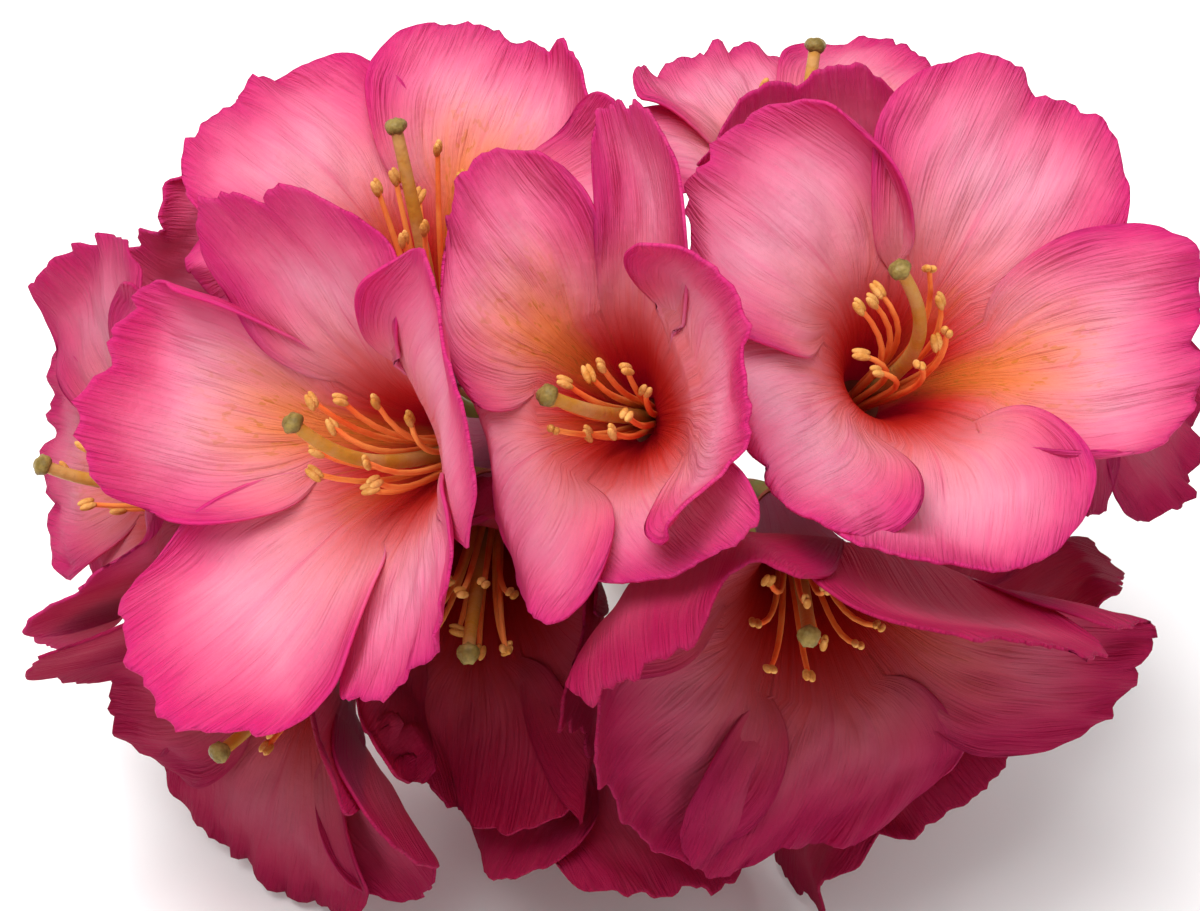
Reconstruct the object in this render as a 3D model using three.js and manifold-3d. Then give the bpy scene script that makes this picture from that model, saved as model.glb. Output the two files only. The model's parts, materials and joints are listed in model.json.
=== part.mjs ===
// A cut rhododendron flower head (a truss): fourteen funnel-shaped blooms on slender stalks round the tip
// of one short stem. It is lying down, on the rims of its lower blooms, and the dome of blooms faces the
// front and up. Millimetres, +Z up, origin on the ground under the middle of the head's box.
//
// The blooms are placed in the head's own frame: x to the right, y up the face of the dome, z out of it.
// The head is then tipped forward by LEAN and set down on the ground.
import * as THREE from "three";
import { mergeVertices } from "three/addons/utils/BufferGeometryUtils.js";
import Module from "manifold-3d";

const wasm = await Module();
wasm.setup();

// ---- driving dimensions ----
const LEAN = 55; // degrees that the axis of the dome is tipped from straight up

const TUBE_LENGTH = 30; // of a corolla, along its wall, from its foot to where the lobes part
const TUBE_FOOT = 4.2; // radius of a corolla at its foot
const TUBE_SLOPE = [6, 44]; // degrees that the wall leans from the axis, at the foot and at the mouth
const FACE_HEIGHT = 36; // of the middle of the open face above the foot
const LOBES = 5;
const LOBE_LENGTH = 32;
const LOBE_HALF_WIDTH = 22;
const LOBE_WIDEST = 0.5; // share of a lobe's length at which it is at its widest
const LOBE_SHOULDER = 0.52; // share of a lobe's length at which its sides end and its round tip begins
const LOBE_NOTCH = [0.05, 0.16]; // depth and half width of the notch in a lobe's tip, as shares of the lobe
const LOBE_TWIST = 0.07; // how much the anticlockwise side of a lobe is raised over its neighbour
const RUFFLE = 3.5; // height of the waves along a lobe's margin
const SCALLOP = 0.02; // how far the outline of a lobe's rim swings out and in, as a share of the lobe
const MARGIN = 0.4; // share of a lobe's half width at which its margin begins to curl
const PETAL = 0.8; // thickness of a petal

const SEAM = 0.5; // half the gap that neighbouring blooms keep, beside half a PETAL
const LAP = 1.1; // how much further from a neighbour every other lobe of a bloom is held
const PRESS = 2; // how softly a petal bends where it meets its neighbour
const PRESS_REACH = 110; // blooms further apart than this don't press on each other
const RISE = 0.9; // how much a petal that meets a neighbour turns up along the plane between them
const TUCK = -0.5; // the same, as a share of RISE, for a petal that slips under its neighbour's instead
const TUCK_LEAN = 12; // degrees the plane leans where petals slip under
const GAP = 0.3; // between two solids that touch

const STYLE_LENGTH = 50; // straight up from a corolla's foot
const STYLE_BENDS = [16, 34]; // heights up to which the style is pulled straight, and at which it is bowed
const STYLE_RADIUS = [1.3, 0.95]; // at the ovary and under the stigma
const STIGMA = [1.7, 2]; // radius and height
const STIGMA_TOP = 0.8; // radius of the stigma's flat top, as a share of its own
const OVARY = [2.2, 3]; // radius and height
const OVARY_TOP = 0.7; // the same of the ovary's top
const OVARY_NECK = 1.6; // height at which the ovary has narrowed to the style, as a share of its own
const STAMENS = 4;
const STAMEN_HEIGHT = [32, 42]; // of the lowest and the highest anther above a corolla's foot
const STAMEN_SPREAD = 8; // of the anthers round the style
const FILAMENT_BENDS = [1.2, 14, 26]; // heights at which a filament starts and is pulled aside
const FILAMENT_OUT = [0.5, 1.3]; // how far out it starts, and then stands, as shares of the ovary's radius
const FILAMENT_FOLLOWS = [0.8, 0.4]; // how much a filament's middle and its end lean as the style's do
const FILAMENT_RADIUS = 0.6;
const ANTHER = [1.05, 2]; // half the width and half the length of an anther

const STALK_RADIUS = [1.7, 1.35]; // of a flower stalk, at the stem and under the bloom
const STALK_SWING = 0.35; // share of a stalk's reach in which it leaves the stem and joins the bloom
const STALK_SQUARE = 0.8; // how square to the stem a stalk leaves it: 1 is square, 0 straight at its bloom
const SEAT_HEIGHT = [0.8, 2.6]; // of the rim at the top of a stalk, and of all that widens toward it
const STEM_RADIUS = [5.6, 3.6]; // at the cut and at the tip
const STEM_TIP = [2, -1, -6]; // the top of the stem, in the head's frame
const STEM_BEND = [4, -3, -50]; // where its two straight halves would meet
const STEM_FOOT = [5, -12, -95]; // the middle of the cut

// How finely the shapes are faceted.
const COLUMNS = 6; // facets across a lobe
const TUBE_ROWS = 2;
const LOBE_ROWS = 4;
const STYLE_STEPS = 4;
const STYLE_SIDES = 5;
const FILAMENT_STEPS = 2;
const FILAMENT_SIDES = 3;
const STALK_STEPS = 4;
const STALK_SIDES = 6;
const STEM_STEPS = 6;
const STEM_SIDES = 12;

const DEG = Math.PI / 180;
const vec = (p) => new THREE.Vector3(...p);
const mix = (a, b, t) => a + (b - a) * t;
const smooth = (t) => {
  const c = Math.min(1, Math.max(0, t));
  return c * c * (3 - 2 * c);
};

// ---- the blooms ----
// middle: centre of the open face; facing: the way it looks; turn: degrees round its axis, from the right,
// of its first lobe; size: 1 is a corolla about 90 across; attach: how far below the stem's tip its stalk
// begins; claim: how far past half way to its neighbours its petals reach; yields: how much further past
// half way to one neighbour, less than nothing where it gives way; over: the neighbours that it lies over,
// and how many degrees the plane that parts them leans; style: how far sideways the style's end and its
// middle lie.
// lobes: the five, from the first one anticlockwise. Each is
//   reach: its length, 1 is LOBE_LENGTH
//   lean: degrees from the bloom's axis half way along it and at its tip; 90 is flat, more rolls back
//   cup: how far it is hollowed across
//   curl: degrees that its anticlockwise and its clockwise margin turn forward
//   swing: how far its tip is swept sideways, anticlockwise
//   twist: how far it is turned round its midrib, beside LOBE_TWIST
//   width: 1 is twice LOBE_HALF_WIDTH
const lobe = (reach, lean, cup = 0.1, curl = [0, 0], swing = 0, twist = 0, width = 1) =>
  ({ reach, lean, cup, curl, swing, twist, width });
const OPEN = lobe(1, [84, 104]);
const FLAT = lobe(1, [78, 90]);
const ERECT = lobe(1, [50, 30], 0.3);
const BLOOMS = {
  left: {
    middle: [-36, 0, 46], facing: [-0.6, -0.06, 0.8], turn: 165, size: 0.93, attach: 5, claim: 1,
    yields: { middle: -6 },
    style: { to: [-1, 6], bow: [2, -6] },
    over: { middle: 32, upper_left: 20, far_left: 15, lower_left: 20, lower_middle: 20, back_left: 15 },
    lobes: [
      lobe(1.15, [70, 92], 0.1, [80, 110]),
      lobe(1.15, [76, 88], 0.3, [0, 60]),
      lobe(0.75, [66, 76], 0.3, [60, 0], -11, 0, 0.85),
      lobe(1.06, [64, 94], 0.3, [70, -30], 5, 0.1, 1.1),
      lobe(0.95, [72, 84], 0.2, [-40, 60], 6, 0, 0.88),
    ],
  },
  middle: {
    middle: [2, 9, 60], facing: [-0.18, 0.12, 0.97], turn: 140, size: 0.92, attach: 0,
    yields: { lower_right: -4 },
    style: { to: [-8, -2], bow: [0, -5] },
    over: { right: 15, upper_left: 25, upper_right: 20, lower_middle: 25, lower_right: 8 },
    lobes: [
      lobe(0.95, [64, 78], 0.2, [0, 0], -5, -0.15, 0.95),
      lobe(0.7, [70, 80], 0.1, [0, 0], 8, 0.15, 1.15),
      lobe(0.6, [60, 74], 0.3, [0, 0], 8),
      lobe(0.85, [22, 28], 1.1, [0, -70], 3, 0, 1.35),
      lobe(1, [74, 78], 0.9, [0, 70], 13, 0, 0.5),
    ],
  },
  right: {
    middle: [47, 16, 50], facing: [0.24, 0.24, 0.94], turn: -6, size: 0.93, attach: 8, claim: 9,
    yields: { middle: 2.5 },
    style: { to: [-8, 8], bow: [6, 0] },
    over: { upper_right: 8, lower_right: 2, far_right: 20, back_right: 20 },
    lobes: [
      lobe(1.06, [70, 92], 0.1, [0, 130], 8),
      lobe(1.15, [74, 90]),
      lobe(1.1, [76, 84], 0.1, [90, 130], 6, 0, 1.05),
      lobe(1.05, [56, 84], -0.3, [0, 0], 2, 0.25),
      lobe(0.95, [76, 98], 0.1, [0, 0], -12, 0.15, 1.1),
    ],
  },
  upper_left: {
    middle: [-25, 34, 28], facing: [0, 0.62, 0.78], turn: 70, size: 0.93, attach: 12, claim: 2,
    style: { to: [-6, 10], bow: [-2, -1] },
    over: { upper_right: 15, back_left: 15 },
    lobes: [FLAT, FLAT, OPEN, OPEN, FLAT],
  },
  upper_right: {
    middle: [31, 49, 12], facing: [0.06, 0.84, 0.5], turn: 54, size: 0.8, attach: 13, claim: 3,
    style: { to: [2, 12], bow: [0, 2] },
    over: { back_right: 10 },
    lobes: [FLAT, lobe(0.85, [78, 90], 0.1, [0, 0], -5), lobe(0.75, [78, 90]), ERECT, OPEN],
  },
  lower_right: {
    middle: [34, -28, 42], facing: [0.15, -0.5, 0.85], turn: 348, size: 1.05, attach: 16, claim: 4,
    style: { to: [-6, 11], bow: [-2, -4] },
    over: { lower_middle: 10, under: 8, under_right: 8 },
    lobes: [
      lobe(1.05, [76, 84], 0.1, [0, 0], 5, 0, 0.8),
      lobe(1.05, [84, 100], 0.1, [0, 0], -8),
      lobe(1.1, [74, 82], 0.2, [-60, 0], 10, 0, 1.05),
      lobe(0.85, [78, 86], 0.1, [0, 0], 4, -0.1),
      lobe(0.7, [72, 80], 0.1, [0, 0], -12, -0.2, 0.95),
    ],
  },
  lower_middle: {
    middle: [-20, -25, 29], facing: [-0.1, -0.55, 0.83], turn: 270, size: 0.95, attach: 10,
    over: { under: 8 },
    lobes: [lobe(0.75, [78, 90]), OPEN, OPEN, OPEN, OPEN],
  },
  lower_left: {
    middle: [-52, -39, 14], facing: [-0.55, -0.6, 0.58], turn: 200, size: 0.92, attach: 20,
    over: { lower_middle: 8, under: 15, far_left: 10 },
    lobes: [
      lobe(0.86, [80, 92], 0.1, [0, 0], 2, 0.05),
      lobe(1.05, [80, 94], 0.1, [0, 0], -4, 0.05, 1.1),
      lobe(0.9, [78, 90], 0.1, [0, 90], -2, 0, 1.1),
      OPEN,
      OPEN,
    ],
  },
  far_left: {
    middle: [-75, -4, 6], facing: [-0.93, -0.05, 0.36], turn: 180, size: 0.88, attach: 27,
    lobes: [FLAT, lobe(0.88, [80, 94]), lobe(0.9, [74, 82], 0.1, [0, 0], -4), OPEN, OPEN],
  },
  far_right: {
    middle: [76, 24, 6], facing: [0.9, 0, 0.43], turn: -45, size: 0.8, rows: 3, attach: 22,
    over: { back_right: 10 },
    lobes: [
      lobe(1.25, [70, 66]),
      lobe(0.55, [84, 104]),
      lobe(0.6, [84, 104]),
      OPEN,
      OPEN,
    ],
  },
  under: {
    middle: [-4, -48, -4], facing: [0, -0.95, -0.3], turn: 270, size: 0.85, rows: 3, attach: 34,
    lobes: [OPEN, OPEN, lobe(1, [56, 62]), lobe(0.8, [70, 80]), OPEN],
  },
  under_right: {
    middle: [50, -36, -12], facing: [0.66, -0.62, -0.42], turn: 294, size: 0.8, rows: 3, attach: 40,
    lobes: [
      OPEN,
      lobe(1.2, [84, 104], 0.1, [0, 60], -6),
      lobe(0.85, [78, 90]),
      lobe(1.2, [78, 90]),
      OPEN,
    ],
  },
  back_left: {
    middle: [-50, 30, -32], facing: [-0.66, 0.5, -0.56], turn: 140, size: 0.85, rows: 3, attach: 38,
    lobes: [OPEN, OPEN, OPEN, OPEN, OPEN],
  },
  back_right: {
    middle: [47, 27, -45], facing: [0.6, 0.5, -0.62], turn: 60, size: 0.85, rows: 3, attach: 44,
    lobes: [OPEN, OPEN, OPEN, OPEN, OPEN],
  },
};

// ---- where a bloom stands ----
// The bloom's own frame: z along its axis, x as near as can be to the head's right.
function stand(bloom, i) {
  const axis = vec(bloom.facing).normalize();
  const side = new THREE.Vector3(1, 0, 0).addScaledVector(axis, -axis.x).normalize();
  const up = axis.clone().cross(side);
  const middle = vec(bloom.middle);
  const foot = middle.clone().addScaledVector(axis, -FACE_HEIGHT * bloom.size);
  return { axis, side, up, middle, foot, seed: 1.7 * i };
}
Object.values(BLOOMS).forEach((bloom, i) => Object.assign(bloom, stand(bloom, i)));

// From a bloom's own frame to the head's.
function toHead(bloom, [x, y, z]) {
  const at = bloom.foot.clone();
  at.addScaledVector(bloom.side, x * bloom.size);
  at.addScaledVector(bloom.up, y * bloom.size);
  return at.addScaledVector(bloom.axis, z * bloom.size);
}

const claim = (bloom, otherName) => (bloom.claim ?? 0) + (bloom.yields?.[otherName] ?? 0);

// Where two blooms press on each other a plane parts them. It stands upright between their tubes, and leans
// between their petals, toward the bloom that lies under.
function parting(bloom, other, name, otherName) {
  const upright = bloom.middle.clone().sub(other.middle).normalize();
  const point = bloom.middle.clone().add(other.middle).multiplyScalar(0.5);
  point.addScaledVector(upright, claim(other, name) - claim(bloom, otherName));
  const lean = (bloom.over?.[otherName] ?? 0) - (other.over?.[name] ?? 0);
  const front = bloom.axis.clone().add(other.axis);
  front.addScaledVector(upright, -front.dot(upright)).normalize();
  const leaned = upright.clone().multiplyScalar(Math.cos(lean * DEG));
  leaned.addScaledVector(front, Math.sin(lean * DEG));
  const sides = [upright, leaned].map((normal) => ({
    normal,
    outwards: bloom.axis.clone().addScaledVector(normal, -bloom.axis.dot(normal)).normalize(),
  }));
  return { point, sides, over: lean > 0, rise: lean <= -TUCK_LEAN ? TUCK : 1 };
}
for (const [name, bloom] of Object.entries(BLOOMS))
  bloom.partings = Object.entries(BLOOMS)
    .filter(([other, { middle }]) => other !== name && middle.distanceTo(bloom.middle) < PRESS_REACH)
    .map(([other, neighbour]) => parting(bloom, neighbour, name, other));

// A petal that would come nearer than room to a parting bends there: it is pushed back, and first also
// outwards, so that it runs on along the plane. The last rounds only push back, and the very last does it
// exactly. Down the tube the amount of it fades, from 1 at the mouth to 0 at the foot.
function pressed(bloom, p, room, amount) {
  for (const [outward, softness] of [[RISE, PRESS], [RISE / 3, PRESS], [0, PRESS], [0, 0]])
    for (const { point, sides, over, rise } of bloom.partings) {
      const from = p.clone().sub(point);
      const nearer = from.dot(sides[0].normal) < from.dot(sides[1].normal) ? 0 : 1;
      const { normal, outwards } = sides[over ? 1 - nearer : nearer];
      const clear = from.dot(normal) - room;
      const push = (amount * (Math.hypot(clear, softness) - clear)) / 2;
      p.addScaledVector(normal, push).addScaledVector(outwards, push * outward * rise);
    }
  return p;
}

// ---- the corolla ----
// The wall seen in a plane through the axis: from a start it goes length far, leaning leanAt degrees from
// the axis. The result gives the place and the lean for a share from 0 to 1 of that length.
function wall(start, length, leanAt) {
  const STEPS = 24;
  const step = length / STEPS;
  const path = [start];
  for (let i = 0; i < STEPS; i++) {
    const lean = leanAt((i + 0.5) / STEPS) * DEG;
    path.push({
      radius: path[i].radius + Math.sin(lean) * step,
      height: path[i].height + Math.cos(lean) * step,
    });
  }
  return (share) => {
    const i = Math.min(STEPS - 1, Math.floor(share * STEPS));
    const past = share * STEPS - i;
    return {
      radius: mix(path[i].radius, path[i + 1].radius, past),
      height: mix(path[i].height, path[i + 1].height, past),
      lean: leanAt(share) * DEG,
    };
  };
}

// A curve through a value at its start, one half way and one at its end.
const through = (start, half, end) => (t) =>
  start * (1 - t) * (1 - 2 * t) + 4 * half * t * (1 - t) + end * t * (2 * t - 1);

const tube = wall({ radius: TUBE_FOOT, height: 0 }, TUBE_LENGTH, (t) => mix(...TUBE_SLOPE, t ** 1.6));
const MOUTH = tube(1);
for (const bloom of Object.values(BLOOMS))
  bloom.walls = bloom.lobes.map(({ reach, lean }) =>
    wall(MOUTH, LOBE_LENGTH * reach, through(TUBE_SLOPE[1], ...lean)));

// Across its width a lobe is a strip that bends evenly and curls at its margins: how far sideways and how
// far forward of its midrib a point x from the midrib lies.
function bentAcross(x, half, bend, curl) {
  const STEPS = 8;
  const step = x / STEPS;
  const turned = (x > 0 ? curl[0] : -curl[1]) * DEG;
  let sideways = 0;
  let forward = 0;
  for (let i = 0.5; i < STEPS; i++) {
    const past = Math.max(0, (Math.abs(step * i) / half - MARGIN) / (1 - MARGIN));
    const angle = bend * step * i + turned * past * past;
    sideways += Math.cos(angle) * step;
    forward += Math.sin(angle) * step;
  }
  return { sideways, forward };
}

// The waves of a lobe: none in its middle, most at its margin.
function ruffle(bloom, k, across, share) {
  const phase = bloom.seed + 2.1 * k;
  const wave = Math.sin(5.2 * across + phase) + 0.6 * Math.sin(9.1 * across - 1.3 * phase);
  return RUFFLE * wave * mix(0.25, 1, across ** 2) * share ** 1.6;
}

// A point on lobe k of a bloom: across runs -1 to 1 from side to side, along 0 to 1 from mouth to rim.
function lobePoint(bloom, k, across, along) {
  const { cup, curl, swing, twist, width } = bloom.lobes[k];
  const round = mix(LOBE_SHOULDER, 1, Math.sqrt(1 - across ** 2));
  const notch = 1 - LOBE_NOTCH[0] * Math.exp(-((across / LOBE_NOTCH[1]) ** 2));
  const scallop = SCALLOP * Math.sin(6 * across + 3 * bloom.seed + k) * along ** 2;
  const share = along * round * notch * (1 + scallop);
  const { radius, height, lean } = bloom.walls[k](share);
  const widening = Math.sin(Math.min(1, share / LOBE_WIDEST) * 90 * DEG);
  const half = mix(MOUTH.radius * (Math.PI / LOBES), LOBE_HALF_WIDTH * width, widening);
  const x = across * half;
  // At the mouth the lobe follows the round of the tube, and hollows straight to the axis. Further out it
  // has only its own hollow, square to the petal.
  const open = smooth(share * 1.8);
  const bend = mix(1 / MOUTH.radius, cup / LOBE_HALF_WIDTH, open);
  const { sideways, forward } = bentAcross(x, half, bend, curl.map((angle) => angle * open));
  const lift = ruffle(bloom, k, across, share) + (LOBE_TWIST + twist * open) * x * smooth(share * 4);
  const r = radius - forward * mix(1, Math.cos(lean), open) - lift * Math.cos(lean);
  const z = height + forward * mix(0, Math.sin(lean), open) + lift * Math.sin(lean);
  const side = sideways + swing * share ** 2;
  const turn = (bloom.turn + (360 / LOBES) * k) * DEG;
  return [r * Math.cos(turn) - side * Math.sin(turn), r * Math.sin(turn) + side * Math.cos(turn), z];
}

function tubePoint(bloom, column, share) {
  const { radius, height } = tube(share);
  const turn = (bloom.turn + (360 / LOBES) * (column / COLUMNS - 0.5)) * DEG;
  return [radius * Math.cos(turn), radius * Math.sin(turn), height];
}

function corolla(bloom) {
  const points = [];
  const triangles = [];
  const add = (p, room, amount) => points.push(pressed(bloom, toHead(bloom, p), room, amount)) - 1;
  const room = PETAL / 2 + SEAM;
  const strip = (low, high) => {
    for (let i = 0; i + 1 < low.length; i++)
      triangles.push([low[i], high[i + 1], low[i + 1]], [low[i], high[i], high[i + 1]]);
  };
  const around = LOBES * COLUMNS;
  let ring = null;
  for (let row = 0; row <= TUBE_ROWS; row++) {
    const share = row / TUBE_ROWS;
    const next = [];
    for (let i = 0; i < around; i++) next.push(add(tubePoint(bloom, i, share), room, share));
    next.push(next[0]);
    if (ring) strip(ring, next);
    ring = next;
  }
  const rows = bloom.rows ?? LOBE_ROWS;
  for (let k = 0; k < LOBES; k++) {
    const spare = LAP * [0, 1, 0, 1, 2][k];
    let edge = ring.slice(k * COLUMNS, (k + 1) * COLUMNS + 1);
    for (let row = 1; row <= rows; row++) {
      const along = row / rows;
      const next = edge.map((_, i) =>
        add(lobePoint(bloom, k, (2 * i) / COLUMNS - 1, along), room + spare * smooth(along * 2), 1));
      strip(edge, next);
      edge = next;
    }
  }
  return thickened(points, triangles, PETAL);
}

// A sheet of triangles, given half its thickness on either side and closed along its edges.
function thickened(points, triangles, thickness) {
  const normals = points.map(() => new THREE.Vector3());
  for (const [a, b, c] of triangles) {
    const face = points[b].clone().sub(points[a]).cross(points[c].clone().sub(points[a]));
    for (const i of [a, b, c]) normals[i].add(face);
  }
  const shifted = (by) => points.map((p, i) => p.clone().addScaledVector(normals[i].normalize(), by));
  const count = points.length;
  const faces = [];
  const edges = new Map();
  for (const [a, b, c] of triangles) {
    faces.push([a, b, c], [count + a, count + c, count + b]);
    for (const [from, to] of [[a, b], [b, c], [c, a]]) edges.set(`${from} ${to}`, [from, to]);
  }
  for (const [from, to] of edges.values())
    if (!edges.has(`${to} ${from}`)) faces.push([to, from, count + from], [to, count + from, count + to]);
  return surface([...shifted(thickness / 2), ...shifted(-thickness / 2)], faces);
}

function surface(points, triangles) {
  const geometry = new THREE.BufferGeometry().setFromPoints(points);
  return geometry.setIndex(triangles.flat());
}

// ---- joining solids ----
function solid(geometry) {
  const bare = geometry.clone();
  bare.deleteAttribute("normal");
  bare.deleteAttribute("uv");
  const merged = mergeVertices(bare, 1e-4);
  const vertProperties = new Float32Array(merged.attributes.position.array);
  const triVerts = new Uint32Array(merged.index.array);
  return new wasm.Manifold(new wasm.Mesh({ numProp: 3, vertProperties, triVerts }));
}

function joined(geometries) {
  const whole = geometries.map(solid).reduce((all, piece) => all.add(piece));
  const mesh = whole.getMesh();
  const geometry = new THREE.BufferGeometry();
  geometry.setAttribute("position", new THREE.BufferAttribute(mesh.vertProperties, 3));
  geometry.setIndex([...mesh.triVerts]);
  return geometry;
}

// ---- limbs ----
// A tube along a curve, closed flat at both ends. The profile lists how far along it is how thick.
function limb(curve, profile, sides) {
  const points = [];
  const triangles = [];
  const length = curve.getLength();
  const across = new THREE.Vector3(0.3, 1, 0.2);
  for (const [distance, radius] of profile) {
    const share = Math.min(1, distance / length);
    const way = curve.getTangentAt(share);
    across.addScaledVector(way, -across.dot(way)).normalize();
    const beside = way.clone().cross(across);
    for (let s = 0; s < sides; s++) {
      const turn = (s / sides) * 360 * DEG;
      const p = curve.getPointAt(share).addScaledVector(across, radius * Math.cos(turn));
      points.push(p.addScaledVector(beside, radius * Math.sin(turn)));
    }
  }
  const steps = profile.length - 1;
  const at = (i, s) => i * sides + (s % sides);
  for (let i = 0; i < steps; i++)
    for (let s = 0; s < sides; s++) {
      triangles.push([at(i, s), at(i, s + 1), at(i + 1, s + 1)]);
      triangles.push([at(i, s), at(i + 1, s + 1), at(i + 1, s)]);
    }
  for (let s = 1; s + 1 < sides; s++) {
    triangles.push([at(0, 0), at(0, s + 1), at(0, s)]);
    triangles.push([at(steps, 0), at(steps, s), at(steps, s + 1)]);
  }
  return surface(points, triangles);
}

// A profile that thins evenly from one distance to another, in some steps.
const taper = (from, to, radii, steps) =>
  Array.from({ length: steps + 1 }, (_, i) => [mix(from, to, i / steps), mix(...radii, i / steps)]);

// ---- pistil and stamens ----
// The ovary, the style that rises from it with the stigma at its end, and the stamens round its foot.
function pistil(bloom) {
  const { to, bow } = { to: [2, 4], bow: [0, -4], ...bloom.style };
  const { size } = bloom;
  const local = (points) => new THREE.CubicBezierCurve3(...points.map((p) => toHead(bloom, p)));
  const style = local([[0, 0, 0], [0, 0, STYLE_BENDS[0]], [...bow, STYLE_BENDS[1]], [...to, STYLE_LENGTH]]);
  const end = style.getLength();
  const [ovaryRadius, ovaryHeight] = OVARY.map((extent) => extent * size);
  const [stigmaRadius, stigmaHeight] = STIGMA;
  const pieces = [limb(style, [
    [0, ovaryRadius],
    [ovaryHeight, ovaryRadius * OVARY_TOP],
    ...taper(ovaryHeight * OVARY_NECK, end - stigmaHeight, STYLE_RADIUS, STYLE_STEPS),
    [end - stigmaHeight * STIGMA_TOP, stigmaRadius],
    [end, stigmaRadius * STIGMA_TOP],
  ], STYLE_SIDES)];
  for (let i = 0; i < STAMENS; i++) {
    const turn = ((i + 0.5) / STAMENS) * 360 * DEG + bloom.seed;
    const spread = (distance) => [distance * Math.cos(turn), distance * Math.sin(turn)];
    const height = mix(...STAMEN_HEIGHT, ((i * 3) % STAMENS) / (STAMENS - 1));
    const beside = (by, distance, share) => spread(distance).map((d, axis) => d + by[axis] * share);
    const filament = local([
      [...spread(OVARY[0] * FILAMENT_OUT[0]), FILAMENT_BENDS[0]],
      [...spread(OVARY[0] * FILAMENT_OUT[1]), FILAMENT_BENDS[1]],
      [...beside(bow, STAMEN_SPREAD / 2, FILAMENT_FOLLOWS[0]), FILAMENT_BENDS[2]],
      [...beside(to, STAMEN_SPREAD, FILAMENT_FOLLOWS[1]), height],
    ]);
    const tip = filament.getLength();
    const thin = [FILAMENT_RADIUS, FILAMENT_RADIUS];
    pieces.push(limb(filament, [
      ...taper(0, tip - ANTHER[1] * 2, thin, FILAMENT_STEPS),
      [tip - ANTHER[1], ANTHER[0]],
      [tip, FILAMENT_RADIUS],
    ], FILAMENT_SIDES));
  }
  return joined(pieces);
}

// ---- the stem and the flower stalks ----
const stemCurve = new THREE.QuadraticBezierCurve3(vec(STEM_FOOT), vec(STEM_BEND), vec(STEM_TIP));
const stem = () => limb(stemCurve, taper(0, stemCurve.getLength(), STEM_RADIUS, STEM_STEPS), STEM_SIDES);

// A stalk springs from the stem, GAP clear of it, and swings round to its bloom's axis. There it widens
// into the seat that carries the corolla and the ovary.
function stalk(bloom) {
  const rootAt = 1 - bloom.attach / stemCurve.getLength();
  const heart = stemCurve.getPointAt(rootAt);
  const seat = bloom.foot.clone().addScaledVector(bloom.axis, -GAP);
  const out = seat.clone().sub(heart);
  const reach = out.length();
  const stemWay = stemCurve.getTangentAt(rootAt);
  if (bloom.attach > 0) out.addScaledVector(stemWay, -STALK_SQUARE * out.dot(stemWay));
  out.normalize();
  // How far out the stalk's flat end must begin, for its rim to stay clear of the stem's side or of its
  // tip.
  const along = Math.abs(out.dot(stemWay));
  const across = Math.sqrt(1 - along ** 2);
  const beside = (mix(...STEM_RADIUS, rootAt) + GAP + STALK_RADIUS[0] * along) / across;
  const start = bloom.attach > 0 ? beside : (GAP + STALK_RADIUS[0] * across) / along;
  const curve = new THREE.CubicBezierCurve3(
    heart.clone().addScaledVector(out, start),
    heart.clone().addScaledVector(out, start + reach * STALK_SWING),
    seat.clone().addScaledVector(bloom.axis, -reach * STALK_SWING),
    seat,
  );
  const end = curve.getLength();
  const rim = TUBE_FOOT * bloom.size + PETAL / 2;
  return limb(curve, [
    ...taper(0, end - SEAT_HEIGHT[1], STALK_RADIUS, STALK_STEPS),
    [end - SEAT_HEIGHT[0], rim],
    [end, rim],
  ], STALK_SIDES);
}

// ---- the head ----
const finish = (color, roughness) =>
  new THREE.MeshStandardMaterial({ color, roughness, metalness: 0, flatShading: true });
const head = new THREE.Group();
head.rotation.set(LEAN * DEG, 0, 0);

function addPiece(name, geometry, color, roughness) {
  const mesh = new THREE.Mesh(geometry, finish(color, roughness));
  mesh.name = name;
  head.add(mesh);
}

addPiece("stem", stem(), 0x7f8a4a, 0.7);
for (const [name, bloom] of Object.entries(BLOOMS)) {
  addPiece(`corolla_${name}`, corolla(bloom), 0xe0588f, 0.5);
  addPiece(`pistil_${name}`, pistil(bloom), 0xc98a2e, 0.45);
  addPiece(`stalk_${name}`, stalk(bloom), 0x9aa05a, 0.6);
}

// Set down on the ground, with the middle of its box over the origin.
const truss = new THREE.Group();
truss.add(head);
truss.updateMatrixWorld(true);
const box = new THREE.Box3().setFromObject(truss, true);
const middle = box.getCenter(new THREE.Vector3());
truss.position.set(-middle.x, -middle.y, -box.min.z);

export default truss;
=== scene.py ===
"""A cut rhododendron flower head, lying on its lower blooms: the visual model around its solids."""

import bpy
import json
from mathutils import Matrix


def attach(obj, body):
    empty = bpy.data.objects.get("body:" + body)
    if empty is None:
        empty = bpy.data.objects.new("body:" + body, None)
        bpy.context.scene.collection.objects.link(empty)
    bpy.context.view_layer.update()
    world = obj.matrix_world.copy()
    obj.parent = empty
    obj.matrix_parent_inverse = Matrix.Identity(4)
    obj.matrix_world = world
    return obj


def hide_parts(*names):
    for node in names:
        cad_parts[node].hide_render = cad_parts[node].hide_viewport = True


bl_info = {
    "name": "Rhododendron flower head",
    "version": (1, 0, 0),
    "blender": (4, 5, 0),
    "location": "3D View > Sidebar > Flower head",
    "description": "Builds the petals, stamens, stalks and stem of a cut rhododendron flower head",
    "category": "Object",
}

import json
import math

import bpy
import numpy as np
from mathutils import Matrix, Vector

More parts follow.
